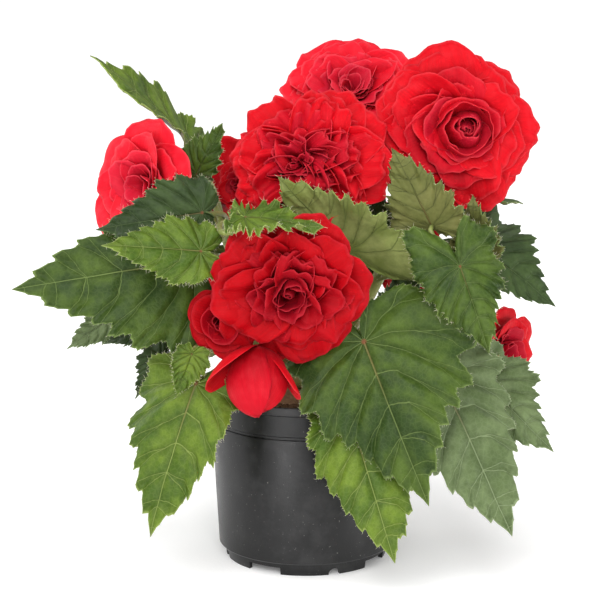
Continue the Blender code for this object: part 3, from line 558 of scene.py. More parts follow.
# %% Table of the leaves
# base and tip in millimetres; left, right and back widen the blade; bend, cup and wave in millimetres
Leaf = namedtuple("Leaf", "base tip face left right back bend cup wave")
LEAVES = {
    "left_large": Leaf((-67, -46, 191), (-170, -58, 177), (0.1, -0.9, 0.4), 1.4, 0.75, 0.2, 10, -4, 4),
    "left_bright": Leaf((-60, -74, 202), (-115, -82, 207), (0, -0.9, 0.45), 1.0, 1.0, 0.8, 5, -3, 2),
    "left_dark": Leaf((-60, -54, 221), (-121, -52, 211), (0, -0.95, 0.3), 0.7, 1.1, 0.5, 6, -3, 3),
    "left_folded": Leaf((-70, 22, 251), (-127, 0, 307), (0.65, -0.15, 0.7), 0.9, 0.9, 0.7, 12, 8, 3),
    "left_olive": Leaf((-65, -15, 238), (-48, -19, 268), (-0.3, -0.7, 0.6), 1.5, 1.35, 0.8, 3, 3, 1.5),
    "middle_upturned": Leaf((24, -50, 198), (-16, -76, 244), (0.1, 0.9, 0.4), 1.5, 0.9, 1.6, 6, -6, 3),
    "middle_young": Leaf((-34, -96, 225), (9, -99, 221), (0, -0.4, 0.9), 0.8, 0.8, 1.2, 4, -3, 2),
    "right_upright": Leaf((72, -60, 214), (48, -72, 260), (0.3, 0.9, 0.2), 1.2, 1.2, 0.5, 5, -4, 2),
    "right_young": Leaf((87, -78, 194), (103, -87, 146), (0.1, -0.95, 0.3), 1.3, 1.4, 1.6, 6, -4, 2),
    "right_curled": Leaf((98, -50, 196), (96, -56, 231), (0.4, 0.8, 0.3), 1.4, 1.2, 0.7, 4, -4, 2),
    "right_dark": Leaf((104, -20, 194), (149, -24, 161), (0.3, -0.8, 0.5), 1.6, 1.3, 1.6, 7, -4, 3),
    "front_large": Leaf((33, -72, 149), (70, -94, 58), (-0.1, -1.0, 0.1), 1.65, 1.4, 0.45, 12, -4, 5),
    "front_low": Leaf((25, -71, 106), (51, -86, 21), (0.0, -0.95, 0.3), 1.4, 0.85, 0.7, 8, -4, 4),
    "right_low": Leaf((78, -62, 125), (119, -74, 33), (0.4, -0.85, 0.2), 1.1, 1.1, 1.1, 10, -4, 4),
    "right_low_outer": Leaf((106, -38, 116), (146, -46, 76), (0.3, -0.9, 0.3), 1.4, 1.5, 1.0, 5, -4, 2),
    "right_inner": Leaf((64, -46, 106), (78, -52, 77), (0.2, -0.9, 0.2), 1.2, 1.2, 1.1, 3, -2, 1.5),
    "right_shaded": Leaf((52, -38, 148), (62, -38, 190), (0.0, -0.95, 0.2), 1.2, 1.2, 0.6, 4, -2, 1),
    "middle_shaded": Leaf((44, 14, 185), (37, 8, 235), (0.0, -0.95, 0.2), 1.9, 0.95, 1.2, 4, -2, 1),
    "left_low": Leaf((-64, -62, 122), (-92, -76, 34), (-0.45, -0.85, 0.25), 0.9, 1.15, 0.4, 10, -4, 4),
    "left_rounded": Leaf((-86, -34, 130), (-101, -38, 107), (-0.2, -0.9, 0.4), 1.5, 1.5, 1.2, 3, -2, 1.5),
    "left_twisted": Leaf((-116, 8, 148), (-146, 6, 127), (-0.1, -0.8, 0.6), 1.2, 1.2, 1.2, 4, 3, 1.5),
    "left_veined": Leaf((-66, -69, 141), (-75, -73, 117), (0.1, -0.95, 0.3), 1.3, 1.1, 0.7, 3, 0, 0),
    "left_shaded": Leaf((-84, -12, 150), (-122, -10, 134), (-0.1, -0.8, 0.6), 1.4, 1.4, 1.0, 4, -3, 1.5),
    "back_left_low": Leaf((-48, 66, 130), (-88, 118, 84), (-0.5, 0.5, 0.7), 1.4, 1.4, 1.2, 10, -4, 4),
    "back_low": Leaf((8, 80, 122), (4, 142, 72), (0, 0.6, 0.8), 1.5, 1.5, 1.2, 12, -5, 5),
    "back_right_low": Leaf((62, 60, 132), (112, 104, 88), (0.5, 0.5, 0.7), 1.4, 1.4, 1.2, 10, -4, 4),
    "back_left": Leaf((-78, 48, 184), (-138, 82, 168), (-0.4, 0.4, 0.8), 1.4, 1.4, 1.2, 10, -4, 4),
    "back_right": Leaf((84, 44, 222), (138, 70, 204), (0.4, 0.4, 0.8), 1.4, 1.4, 1.2, 9, -4, 4),
    "back_high": Leaf((6, 72, 240), (10, 118, 236), (0, 0.5, 0.85), 1.4, 1.4, 1.2, 8, -4, 3),
}
print("leaves:", len(LEAVES))

# %% Tables of the flowers and the bud
# centre and radius in millimetres; turn about its axis in degrees; the habit names its rings of petals;
# heart is how far its innermost petals are shifted to the right, over the radius
Flower = namedtuple("Flower", "centre face radius turn habit seed heart", defaults=(0,))
FLOWERS = {
    "front": Flower((-10, -84, 180), (-0.05, -0.97, -0.22), 49, 63, "rosette", 1),
    "upper_right": Flower((86, -34, 267), (0.10, -0.96, 0.12), 52, 50, "rose", 2, 0.14),
    "upper_middle": Flower((28, 30, 285), (-0.05, -0.70, 0.70), 44, 0, "domed", 3),
    "left_centre": Flower((3, -44, 248), (-0.15, -0.95, 0.22), 49, 35, "ruffled", 4, -0.15),
    "left": Flower((-98, -10, 231), (-0.60, -0.74, 0.20), 44, 15, "open", 5),
    "left_small": Flower((-40, -4, 230), (-0.4, -0.85, 0.3), 18, 60, "open", 6),
    "right_small": Flower((121, 8, 124), (0.75, -0.6, -0.1), 34, 30, "open", 7),
    "front_side": Flower((-48, -66, 160), (-0.25, -0.97, 0.0), 24, 0, "shell", 11),
    "hanging": Flower((-28, -81, 136), (0.05, -0.55, -0.85), 27, 10, "hanging", 8),
    "back_left": Flower((-58, 78, 216), (-0.45, 0.8, 0.35), 40, 25, "open", 9),
    "back_right": Flower((58, 84, 176), (0.45, 0.85, 0.1), 40, 45, "open", 10),
}
Bud = namedtuple("Bud", "centre axis half_length")
BUDS = {"left": Bud((-100, -20, 155), (-0.5, -0.5, -0.6), 7)}
print("flowers:", len(FLOWERS), "and buds:", len(BUDS))

# %% [markdown]
# ## Leaves: the outline and the veins
#
# A begonia leaf is lopsided, with broad lobes that carry many small teeth. One main vein runs to the
# tip, side veins leave it in turn and bend forwards, and a few more fan out behind the stalk. Each of
# them ends in a lobe. Drawing outline and veins by hand for every leaf would take long, and they would
# seldom meet. So one formula tells for any point of a blade where it lies in the row of side veins:
# whole numbers are veins, and they are also the crests of the lobes.

# %% A blade's place and its outline
# angle from the tip about the leaf stalk, and distance over the blade's length
OUTLINE = (
    (0, 0.98), (4, 0.88), (9, 0.79), (18, 0.65), (28, 0.54), (44, 0.47), (58, 0.40), (74, 0.35),
    (90, 0.33), (108, 0.32), (130, 0.34), (148, 0.30), (162, 0.22), (172, 0.13), (180, 0.07),
)
FULL_WIDTH_FROM, WIDENING_GROWTH = math.radians(70), 1.5


def square_to(axis, direction):
    """The part of a direction that is square to an axis, one unit long."""
    return (direction - direction.dot(axis) * axis).normalized()


def framed(ahead, up, origin):
    """A frame at the origin with X ahead and Z up, which are square to each other."""
    place = Matrix((ahead, up.cross(ahead), up)).transposed().to_4x4()
    place.translation = origin
    return place


def blade_place(leaf):
    """The blade's length and its frame: X along the main vein, Z out of the upper side."""
    base, tip = Vector(leaf.base) * MM, Vector(leaf.tip) * MM
    chord = (tip - base).normalized()
    face = square_to(chord, Vector(leaf.face))
    reach, bend = (tip - base).length, leaf.bend * MM
    rise = math.asin(bend / reach)
    along = math.cos(rise) * chord + math.sin(rise) * face
    up = math.cos(rise) * face - math.sin(rise) * chord
    return reach * math.cos(rise), framed(along, up, base)


def outline_reach(leaf, angle):
    """How far the smooth outline is from the stalk in this direction, over the blade's length."""
    angles, shares = zip(*OUTLINE)
    share = float(np.interp(abs(math.degrees(angle)), angles, shares))
    side = leaf.left if angle > 0 else leaf.right
    off_axis = min(1.0, (abs(angle) / FULL_WIDTH_FROM) ** WIDENING_GROWTH)
    behind = max(0.0, -math.cos(angle))
    return share * (1 + (side - 1) * off_axis) * (1 + (leaf.back - 1) * behind)


longest_blade = max(blade_place(leaf)[0] for leaf in LEAVES.values())
print("longest blade:", round(longest_blade / MM), "mm")

# %% The rows of veins, lobes and teeth
# over the blade's length; the angles in radians from the tip
VEIN_SPACING, VEIN_LEAN, VEIN_BOW, VEIN_STAGGER, STAGGER_WIDTH = 0.196, 0.8, 0.9, 0.4, 0.12
FAN_START, FAN_STEP = math.atan2(1, VEIN_LEAN), math.radians(32)
LOBE_NOTCH, TOOTH_GAP = 0.36, 0.6  # where these lie in the step from one to the next


def vein_number(along, across):
    """The place in the row of side veins, and how far the nearest one is, over the blade's length."""
    side = abs(across)
    bowed = along - VEIN_BOW * side**2
    lead = bowed - VEIN_LEAN * side
    forward = lead > 0
    number = lead / VEIN_SPACING if forward else (FAN_START - math.atan2(side, bowed)) / FAN_STEP
    number += VEIN_STAGGER * min(1, max(0, across) / STAGGER_WIDTH)
    apart = VEIN_SPACING * math.sin(FAN_START) if forward else FAN_STEP * math.hypot(bowed, side)
    return number, abs(number - round(number)) * apart


def lobe_height(number):
    """1 on a vein and -1 in the notch before the next one, which lies nearer to the tip."""
    place = number % 1
    if place < LOBE_NOTCH:
        return math.cos(math.pi * place / LOBE_NOTCH)
    return math.cos(math.pi * (1 + (place - LOBE_NOTCH) / (1 - LOBE_NOTCH)))


def tooth_height(place):
    """1 at the point of each tooth and -1 in the gap after it."""
    place %= 1
    return 1 - 2 * (place / TOOTH_GAP if place < TOOTH_GAP else (1 - place) / (1 - TOOTH_GAP))


print("side veins ahead of the stalk:", int(OUTLINE[0][1] / VEIN_SPACING))

# %% [markdown]
# ## Leaves: growing a blade
#
# The blade is spun about its stalk as a wheel with many spokes, three for each tooth, so that the
# teeth come out sharp. Every point is then moved to its place by the formulas: out to the lobed and
# toothed margin, and up or down with the blade's bend, its folds and the bulges between its veins.
# Each point keeps its place on the blade in an attribute, from which the finish draws the veins.

# %% The form of a blade
BLADE_THICKNESS, SPOKE_CROWDING = 0.6 * MM, 0.35
WAVES, WAVE_TURN, CRISP_WAVES = 5, 2.1, 21  # broad and small waves round the margin
LOBE_DEPTH, LOBE_LIFT, TOOTH_DEPTH = 0.085, 0.9 * MM, 0.9 * MM
BULGE, BULGE_WIDTH, RIPPLE, RIPPLES, FOLD, FOLD_FROM = 1.1 * MM, 0.05, 2.4 * MM, 60, 7 * MM, 0.12
# teeth and folds are full where the margin is this far from the stalk, lobes and bulges from here on
WIDE, LIFTED_FROM, BULGED_FROM = 30 * MM, 15 * MM, 20 * MM


def blade_rise(leaf, length, along, across, share, angle):
    """The coarse form: the bend along the blade, its cup across and its waved margin."""
    bend = -leaf.bend * MM * (along / length) ** 2
    cup = leaf.cup * MM * (2 * across / length) ** 2
    wave = leaf.wave * MM * share**2 * math.sin(WAVES * angle + WAVE_TURN * leaf.base[0])
    return bend + cup + wave


def blade_point(leaf, length, teeth, crisp, fold, turn, share):
    """A point of the blade's sheet, and its place on the blade over the blade's length."""
    if turn > math.pi:
        turn -= math.tau
    angle = turn - SPOKE_CROWDING * math.sin(turn)
    reach = length * outline_reach(leaf, angle)
    number, _ = vein_number(*(reach / length * part for part in (math.cos(angle), math.sin(angle))))
    # out to the margin, with its lobes and teeth, no two of which are alike
    lobe = lobe_height(number)
    unlike = noise.noise(Vector((3 * math.cos(angle), 3 * math.sin(angle), leaf.base[0])))
    depth = LOBE_DEPTH * (0.2 + 0.8 * math.sin(min(abs(angle), math.pi / 2)))  # shallow near the tip
    radius = share * reach * (1 + depth * (lobe + 1.2 * unlike) * share**3)
    shrink = min(1.0, reach / WIDE)
    radius += TOOTH_DEPTH * tooth_height(turn / math.tau * teeth) * (1 + unlike) * shrink * share**10
    along, across = radius * math.cos(angle), radius * math.sin(angle)
    # up or down with the coarse form, the lobes, the bulges, the ripples, the folds and the small waves
    rise = blade_rise(leaf, length, along, across, share, angle)
    rise += LOBE_LIFT * lobe * share**5 * min(1, radius / LIFTED_FROM)
    _, gap = vein_number(along / length, across / length)
    gap = min(gap, math.hypot(min(along, 0), across) / length)
    bulge = min(1, gap / BULGE_WIDTH) ** 0.7 - 0.4
    rise += BULGE * bulge * min(1, radius / BULGED_FROM) * (1 - 0.5 * share**4)
    rise += RIPPLE * noise.noise(Vector((along, across, 0.01 * leaf.base[0])) * RIPPLES) * share
    rise += fold * shrink * max(0, unlike - FOLD_FROM) * share**6
    rise += crisp * share**7 * math.sin(CRISP_WAVES * angle + 2 * unlike)
    return Vector((along, across, rise)), (along / length, across / length, share)


print("teeth are up to", round(2 * TOOTH_DEPTH / MM, 1), "mm deep where the margin is even")

# %% Grow one blade
LARGE_BLADE, SMALL_BLADE = (88, 18), (64, 12)  # teeth round the margin and rings of points
SMALL_LENGTH, POINTS_PER_TOOTH, BLADE_WELD = 62 * MM, 3, 0.0001


def grow_blade(leaf, crisp, fold):
    """The blade's sheet, and the places and normals of the points round its margin."""
    length, place = blade_place(leaf)
    teeth, rings = SMALL_BLADE if length < SMALL_LENGTH else LARGE_BLADE
    spokes = teeth * POINTS_PER_TOOTH
    bm = bmesh.new()
    line = [bm.verts.new((ring / rings, 0, 0)) for ring in range(rings + 1)]
    spin_round(bm, line, spokes, BLADE_WELD)
    leaf_map = bm.verts.layers.float_vector.new("leaf_map")
    blade_length = bm.verts.layers.float.new("blade_length")
    margin = []
    for point in bm.verts:
        share = point.co.length
        number = round(math.atan2(point.co.y, point.co.x) / math.tau * spokes) % spokes
        turn = math.tau * number / spokes
        point.co, point[leaf_map] = blade_point(leaf, length, teeth, crisp, fold, turn, share)
        point[blade_length] = length
        if share > 0.99:
            margin.append((number, point))
    bmesh.ops.recalc_face_normals(bm, faces=bm.faces)
    if sum(face.normal.z for face in bm.faces) < 0:
        bmesh.ops.reverse_faces(bm, faces=bm.faces)
    bmesh.ops.transform(bm, matrix=place, verts=bm.verts)
    bm.normal_update()
    rim = [(point.co.copy(), point.normal.copy()) for _, point in sorted(margin, key=lambda p: p[0])]
    return bm, rim


print("spokes of a large blade:", LARGE_BLADE[0] * POINTS_PER_TOOTH)

# %% [markdown]
# ## Leaves: their finish
#
# Seen close, the upper side is a satin green, a little mottled and softly quilted. On both sides a
# painted shade lies close to the veins, where the quilting dips. Its veins are thin and pale, each side
# vein forks before it reaches the margin, and a faint net of finer ones lies between. The underside is
# a paler, greyer olive and its veins are darker than the blade. The nodes repeat the vein formula, so
# the lines stay crisp whatever the mesh. Each blade also lets some light through. Four recipes of green
# do for the whole plant: fresh, grown, shaded and painted_sheen. The shaded green is painted shade, a
# deeper copy for the leaves that lie in shadow, and painted_sheen is a greyer copy with a painted sheen.

# %% Vein lines from a blade's own map
# half widths at the stalk and at the margin, over the blade's length
MAIN_VEIN, SIDE_VEIN = (0.0060, 0.0022), (0.0030, 0.0016)
VEIN_SWAY, FORK_SPREAD = 0.16, 0.22  # over the step from vein to vein


def vein_lines(leaf):
    """Nodes that give 1 on the main vein and on the side veins, and distances over the length."""

    def distance(*parts):
        return leaf.math("SQRT", leaf.math("ADD", *(leaf.math("POWER", part, 2.0) for part in parts)))

    along, across, share = leaf.node("SeparateXYZ", {0: leaf.own_map("leaf_map")}).outputs
    sway = leaf.math("SUBTRACT", leaf.speckle(leaf.place(), 110, 2), 0.5)
    side = leaf.math("ABSOLUTE", across)
    bowed = leaf.math("SUBTRACT", along, leaf.times(leaf.math("POWER", side, 2.0), VEIN_BOW))
    lead = leaf.math("SUBTRACT", bowed, leaf.times(side, VEIN_LEAN))
    forward = leaf.math("GREATER_THAN", lead, 0.0)
    angle = leaf.math("ARCTAN2", side, bowed)
    fan = leaf.math("DIVIDE", leaf.math("SUBTRACT", FAN_START, angle), FAN_STEP)
    number = leaf.choose(forward, fan, leaf.math("DIVIDE", lead, VEIN_SPACING))
    stagger = leaf.node("MapRange", {"Value": across, "From Max": STAGGER_WIDTH, "To Max": VEIN_STAGGER})
    number = leaf.math("ADD", number, stagger.outputs[0])
    number = leaf.math("ADD", number, leaf.times(sway, VEIN_SWAY))
    off = leaf.math("PINGPONG", number, 0.5)
    fork = leaf.step(share, 0.5, 1.05, 0.0, FORK_SPREAD)
    off_fork = leaf.math("ABSOLUTE", leaf.math("SUBTRACT", off, fork))
    radius = distance(along, side)
    apart = leaf.choose(forward, leaf.times(radius, FAN_STEP), VEIN_SPACING * math.sin(FAN_START))
    main_gap = distance(leaf.math("MINIMUM", along, 0.0), side)
    main_width = leaf.step(share, 0.0, 1.0, *MAIN_VEIN)
    main = leaf.step(leaf.math("DIVIDE", main_gap, main_width), 0.6, 1.6, 1.0, 0.0)
    side_width = leaf.step(share, 0.1, 1.0, *SIDE_VEIN)
    barb = leaf.step(leaf.math("DIVIDE", leaf.times(off_fork, apart), side_width), 0.6, 1.8, 1.0, 0.0)
    gap = leaf.math("MINIMUM", main_gap, leaf.times(off, apart))
    return main, barb, gap, radius, share


print("main vein of the longest blade:", round(2 * MAIN_VEIN[0] * longest_blade / MM, 1), "mm wide")

# %% Upper and under finishes
QUILT_DEPTH = 0.011  # over the blade's length
RUSTY, RED_BROWN, GLOW = shown(108, 80, 50), shown(122, 66, 46), shown(150, 180, 60)


def leaf_finish(name, colours, under=False):
    """The finish of one side of a blade, from the colours of its patches and its veins."""
    dark, light, vein = (shown(*colour) for colour in colours)
    leaf = Finish(name, 0.5, Specular_IOR_Level=0.15 if under else 0.22)
    spot = leaf.place()
    main, barb, gap, radius, share = vein_lines(leaf)
    lines = leaf.math("MAXIMUM", main, leaf.times(barb, 0.75))
    net_of_cells = {"Vector": spot, "Scale": 380.0}
    cells = leaf.node("TexVoronoi", net_of_cells, feature="DISTANCE_TO_EDGE").outputs["Distance"]
    net = leaf.step(cells, 0.02, 0.12, 1.0, 0.0)
    patches = leaf.speckle(spot, 42, 3, 0.6)
    colour = leaf.mix(leaf.step(patches, 0.36, 0.64), dark, light)
    spots = leaf.step(leaf.speckle(spot, 240, 2), 0.35, 0.75)
    darker, darkest = (tuple(part * left for part in dark) for left in (0.7, 0.5))
    colour = leaf.paint(
        colour,
        (leaf.times(spots, 0.30), darkest),
        # painted shade: the blade is darkened close to its veins, as in the grooves of its quilting
        (leaf.step(gap, 0.004, 0.04, 0.35, 0.0), darker),
        (leaf.times(net, 0.08), vein),
        (leaf.times(lines, 0.58), vein),
        (leaf.times(main, leaf.step(radius, 0.1, 0.5, 0.5, 0.0)), RUSTY),
        (leaf.step(radius, 0.008, 0.022, 0.8, 0.0), RED_BROWN),
        (leaf.step(share, 0.975, 1.0, 0.0, 0.7), vein),
    )
    quilt = leaf.math("POWER", leaf.step(gap, 0.0, 0.05), 0.7)
    relief = leaf.bump(leaf.speckle(spot, 1500, 2), 0.00009)
    relief = leaf.bump(cells, 0.00025, relief)
    relief = leaf.bump(quilt, leaf.times(leaf.own_map("blade_length", "Fac"), QUILT_DEPTH), relief)
    relief = leaf.bump(lines, 0.0006 if under else -0.0004, relief)
    leaf.wear(colour, relief, leaf.step(patches, 0.2, 0.8, 0.44, 0.58))
    leaf.let_light_through(0.14, leaf.mix(0.5, colour, GLOW), relief)
    return leaf


print("quilting of the longest blade:", round(QUILT_DEPTH * longest_blade / MM, 1), "mm deep")

# %% Greens of the upper sides and the undersides
# colours as the screen shows them, of the darker and the lighter patches and of the veins
LEAF_TONES = {
    "fresh": ((66, 90, 26), (100, 122, 40), (156, 172, 96)),
    "grown": ((44, 64, 22), (74, 94, 34), (124, 144, 82)),
    # painted shade: the shaded green is a deeper copy for the leaves that lie in shadow
    "shaded": ((42, 58, 30), (62, 80, 42), (96, 116, 72)),
    # painted sheen: a greyer copy of the green for the leaves whose surface shows a sheen
    "painted_sheen": ((80, 96, 58), (104, 120, 80), (150, 166, 124)),
}
UNDER_TONES = {
    "fresh": ((118, 130, 68), (140, 148, 88), (84, 98, 54)),
    "grown": ((104, 108, 60), (122, 122, 72), (78, 84, 48)),
    # painted shade: the same deeper copy for the undersides of those leaves
    "shaded": ((76, 88, 54), (96, 106, 66), (54, 68, 42)),
    # painted sheen: the same greyer copy for the undersides of those leaves
    "painted_sheen": ((110, 122, 84), (130, 140, 102), (84, 98, 64)),
}
leaf_finishes = {
    tone: (
        leaf_finish(f"leaf_{tone}_upper", LEAF_TONES[tone]),
        leaf_finish(f"leaf_{tone}_under", UNDER_TONES[tone], under=True),
    )
    for tone in LEAF_TONES
}
print("leaf finishes:", 2 * len(leaf_finishes))

# %% Make every leaf
# the leaves of each tone; all others are grown
# middle_upturned wears the lighter fresh green as painted light, which lifts the shade on its downturned
# underside
FRESH = "left_bright left_low middle_young front_low middle_upturned back_high left_folded left_veined"
# these leaves wear the shaded green, which paints the shade they lie in behind other leaves
SHADED = "middle_shaded right_shaded right_inner left_shaded left_rounded left_dark right_dark back_low"
# these leaves wear the greyer green that paints their sheen
PAINTED_SHEEN = "right_low left_twisted right_low_outer"
FOLDED_UNDER = "right_low left_low"  # these would else touch what hangs in front of them
# height in millimetres of the small waves round the leaves that are more crisp than the rest
CRISPED = {
    "middle_young": 3.0, "right_young": 2.2, "right_curled": 2.2, "left_olive": 2.0,
    "right_upright": 1.6, "middle_upturned": 1.2,
}
LEAST_CRISP = 0.6


def tone_of(name):
    for tone, names in (("fresh", FRESH), ("shaded", SHADED), ("painted_sheen", PAINTED_SHEEN)):
        if name in names.split():
            return tone
    return "grown"


def thicken(piece, thickness, under=0):
    """Gives a sheet its thickness; the second side wears the finish that is this many slots on."""
    sheet = piece.modifiers.new("thickness", "SOLIDIFY")
    sheet.thickness, sheet.offset, sheet.material_offset = thickness, 0, under


rims = {}
for name, leaf in LEAVES.items():
    fold = -FOLD if name in FOLDED_UNDER.split() else FOLD
    bm, rims[name] = grow_blade(leaf, CRISPED.get(name, LEAST_CRISP) * MM, fold)
    blade = make_piece("blade_" + name, bm, leaf_finishes[tone_of(name)], "leaf_" + name, "leaf_" + name)
    thicken(blade, BLADE_THICKNESS, under=1)
print("blades:", len(rims))

# %% [markdown]
# ## The fringe of hairs
#
# A tuberous begonia's leaves carry a short pale hair on each tooth and between them. At this distance
# they show as a light edge. A real hair system would be lost when the model is exported, so each hair
# is a tiny three-sided spike that grows outwards from the margin.

# %% Hairs along the margins
HAIRY = "left_bright middle_young right_young left_low left_dark middle_upturned"
HAIR, LONG_HAIR, HAIR_RADIUS, BARE_BASE = 1.5 * MM, 2.4 * MM, 0.12 * MM, 8 * MM
HAIR_SHARE, HAIR_STRAY = 0.8, 0.35
hair = Finish("pale_hair", 0.5)
tint = hair.speckle(hair.place(), 90)
hair.wear(hair.mix(tint, shown(196, 200, 160), shown(222, 214, 190)), hair.bump(tint, 0.0001))


def spike(place, direction, length):
    """One hair that grows from this place."""
    turn = direction.to_track_quat("Z", "X").to_matrix().to_4x4()
    middle = Matrix.Translation(place + direction * length / 2)
    return rod(middle @ turn, length, 3, HAIR_RADIUS, HAIR_RADIUS / 5)


dice = random.Random(3)
hairs = []
for name, leaf in LEAVES.items():
    rim, centre = rims[name], Vector(leaf.base) * MM
    full_length = LONG_HAIR if name in HAIRY.split() else HAIR
    for number, (place, up) in enumerate(rim):
        ahead = rim[(number + 1) % len(rim)][0] - rim[number - 1][0]
        out = ahead.cross(up).normalized()
        if out.dot(place - centre) < 0:
            out = -out
        if dice.random() < HAIR_SHARE and (place - centre).length > BARE_BASE:
            stray = Vector((dice.gauss(0, 1), dice.gauss(0, 1), dice.gauss(0, 1))) * HAIR_STRAY
            hairs.append(spike(place, (out + stray).normalized(), dice.uniform(0.5, 1.1) * full_length))
make_piece("leaf_hairs", joined(hairs), [hair], "leaf_front_large")
print("hairs:", len(hairs))

# %% [markdown]
# ## Stems and stalks
#
# The juicy stems branch from a crown on the tuber, and each leaf and flower has its own stalk. The
# route of a stalk is a smooth bend that leaves its stem upwards and arrives square to what it carries.
# A tube is made by extruding the end of a short cylinder again and again along that route, so each
# stalk is closed and tapers evenly.

# %% Where stalks may leave their stem
# the knots of the main stems' routes, in millimetres
STEMS = {
    "left": ((-4, 0, 112), (-16, -4, 130), (-34, -2, 165), (-50, 4, 200)),
    "middle": ((0, 2, 112), (2, 8, 140), (6, 16, 185), (10, 18, 225)),
    "right": ((5, 0, 112), (22, -4, 135), (44, -6, 175), (62, -8, 215)),
    "front": ((1, -4, 112), (5, -20, 125), (8, -34, 146)),
    "back": ((0, 5, 112), (0, 28, 132), (2, 46, 160)),
}
STEM_STEPS, LOW_START_WEIGHT, LEAVING_LEAN = 6, 2.5, 0.5
stems = [[Vector(knot) * MM for knot in knots] for knots in STEMS.values()]


def blend(pair, share):
    return pair[0] + (pair[1] - pair[0]) * share


starts = []
for knots in stems:
    for pair in zip(knots, knots[1:]):
        starts += [blend(pair, number / STEM_STEPS) for number in range(STEM_STEPS + 1)]


def leaving(knee, rise):
    """Where a stalk leaves its stem to reach its knee, and the way that it leans there."""

    def cost(point):
        return (knee - point).length + LOW_START_WEIGHT * max(0.0, point.z - (knee.z - rise))

    start = min(starts, key=cost)
    return start, LEAVING_LEAN * (knee - start).normalized() + Vector((0, 0, 1))


print("places on the stems where a stalk may leave:", len(starts))

# %% Routes of the stalks
SEAT, KNEE, UPTURNED_RUN = 0.55 * MM, 4 * MM, 15 * MM
LEAF_RISE, FLOWER_RISE, FLOWER_DEPTH = 25 * MM, 35 * MM, 0.53
HANDLE, ROUTE_POINTS, ARRIVING_LEAN = 0.35, 18, (0.6, 0.8)


def curved(start, lean, arrive, end):
    """Points along a smooth bend that leaves start along lean and reaches end along arrive."""
    span = (end - start).length
    first = start + lean.normalized() * span * HANDLE
    last = end - arrive.normalized() * span * HANDLE
    points = []
    for number in range(ROUTE_POINTS):
        share = number / (ROUTE_POINTS - 1)
        rest = 1 - share
        near, far = 3 * share * rest**2 * first, 3 * share**2 * rest * last
        points.append(rest**3 * start + near + far + share**3 * end)
    return points


def leaf_route(leaf):
    _, place = blade_place(leaf)
    along, up, base = (place.col[column].xyz for column in (0, 2, 3))
    end = base - up * (BLADE_THICKNESS / 2 + SEAT)
    knee = end - up * KNEE
    start, lean = leaving(knee, LEAF_RISE)
    if up.dot(Vector((base.x, base.y, 0))) > 0:
        route = curved(start, lean, ARRIVING_LEAN[0] * up + ARRIVING_LEAN[1] * along, knee)
    else:
        route = curved(start, lean, along, knee - along * UPTURNED_RUN) + [knee]
    return route + [base]


def flower_place(flower):
    up = Vector(flower.face).normalized()
    across = Vector((0, 0, 1)).cross(up)
    if across.length < 0.2:
        across = Vector((1, 0, 0))
    upright = framed(square_to(up, across), up, Vector(flower.centre) * MM)
    return upright @ Matrix.Rotation(math.radians(flower.turn), 4, "Z")


def bud_place(bud):
    turn = Vector(bud.axis).to_track_quat("Z", "Y").to_matrix().to_4x4()
    return Matrix.Translation(Vector(bud.centre) * MM) @ turn


def flower_route(place, depth):
    """The route of the stalk to a flower or bud that is this deep behind its middle."""
    up = place.col[2].xyz.normalized()
    end = place.translation - up * (depth + SEAT)
    knee = end - up * KNEE
    start, lean = leaving(knee, FLOWER_RISE)
    return curved(start, lean, up, knee) + [end + up * 2 * SEAT]


print("points along each stalk:", ROUTE_POINTS)


# %% Extrude a tube
STEM_BENDS = 8  # points between one knot of a stem and the next


def tube(route, radii_mm, sides, swelling=0.0):
    """A closed tube along the route; swelling thickens it where it leaves its stem."""
    directions = [(there - here).normalized() for here, there in zip(route, route[1:])]
    directions.append(directions[-1])
    side = directions[0].orthogonal().normalized()
    rings = []
    for number, (place, direction) in enumerate(zip(route, directions)):
        if number:
            direction = (direction + directions[number - 1]).normalized()
        side = square_to(direction, side)
        share = number / (len(route) - 1)
        radius = blend(radii_mm, share) * MM * (1 + swelling * math.exp(-14 * share))
        turn = Matrix((side, direction.cross(side), direction)).transposed()
        rings.append((place, turn, radius))
    bm = bmesh.new()
    bmesh.ops.create_cone(bm, cap_ends=True, segments=sides, radius1=1, radius2=1, depth=1)
    bottom = [point for point in bm.verts if point.co.z < 0]
    cap = max(bm.faces, key=lambda face: face.calc_center_median().z)
    circle = [point.co.copy() for point in cap.verts]

    def set_ring(points, knots, ring):
        place, turn, radius = ring
        for point, knot in zip(points, knots):
            point.co = place + turn @ Vector((knot.x * radius, knot.y * radius, 0))

    set_ring(bottom, [point.co.copy() for point in bottom], rings[0])
    set_ring(cap.verts, circle, rings[1])
    for ring in rings[2:]:
        cap = bmesh.ops.extrude_discrete_faces(bm, faces=[cap])["faces"][0]
        set_ring(cap.verts, circle, ring)
    return bm


def through(knots):
    """Points along a smooth line that passes through these knots."""
    points = []
    for number, (here, there) in enumerate(zip(knots, knots[1:])):
        before, after = knots[max(0, number - 1)], knots[min(len(knots) - 1, number + 2)]
        for step in range(STEM_BENDS):
            share = step / STEM_BENDS
            rest = 1 - share
            bow = (there - before) * share * rest**2 / 2 - (after - here) * share**2 * rest / 2
            points.append(here * (1 + 2 * share) * rest**2 + there * share * share * (3 - 2 * share) + bow)
    return points + [knots[-1]]


print("points along the first stem:", len(through(stems[0])))

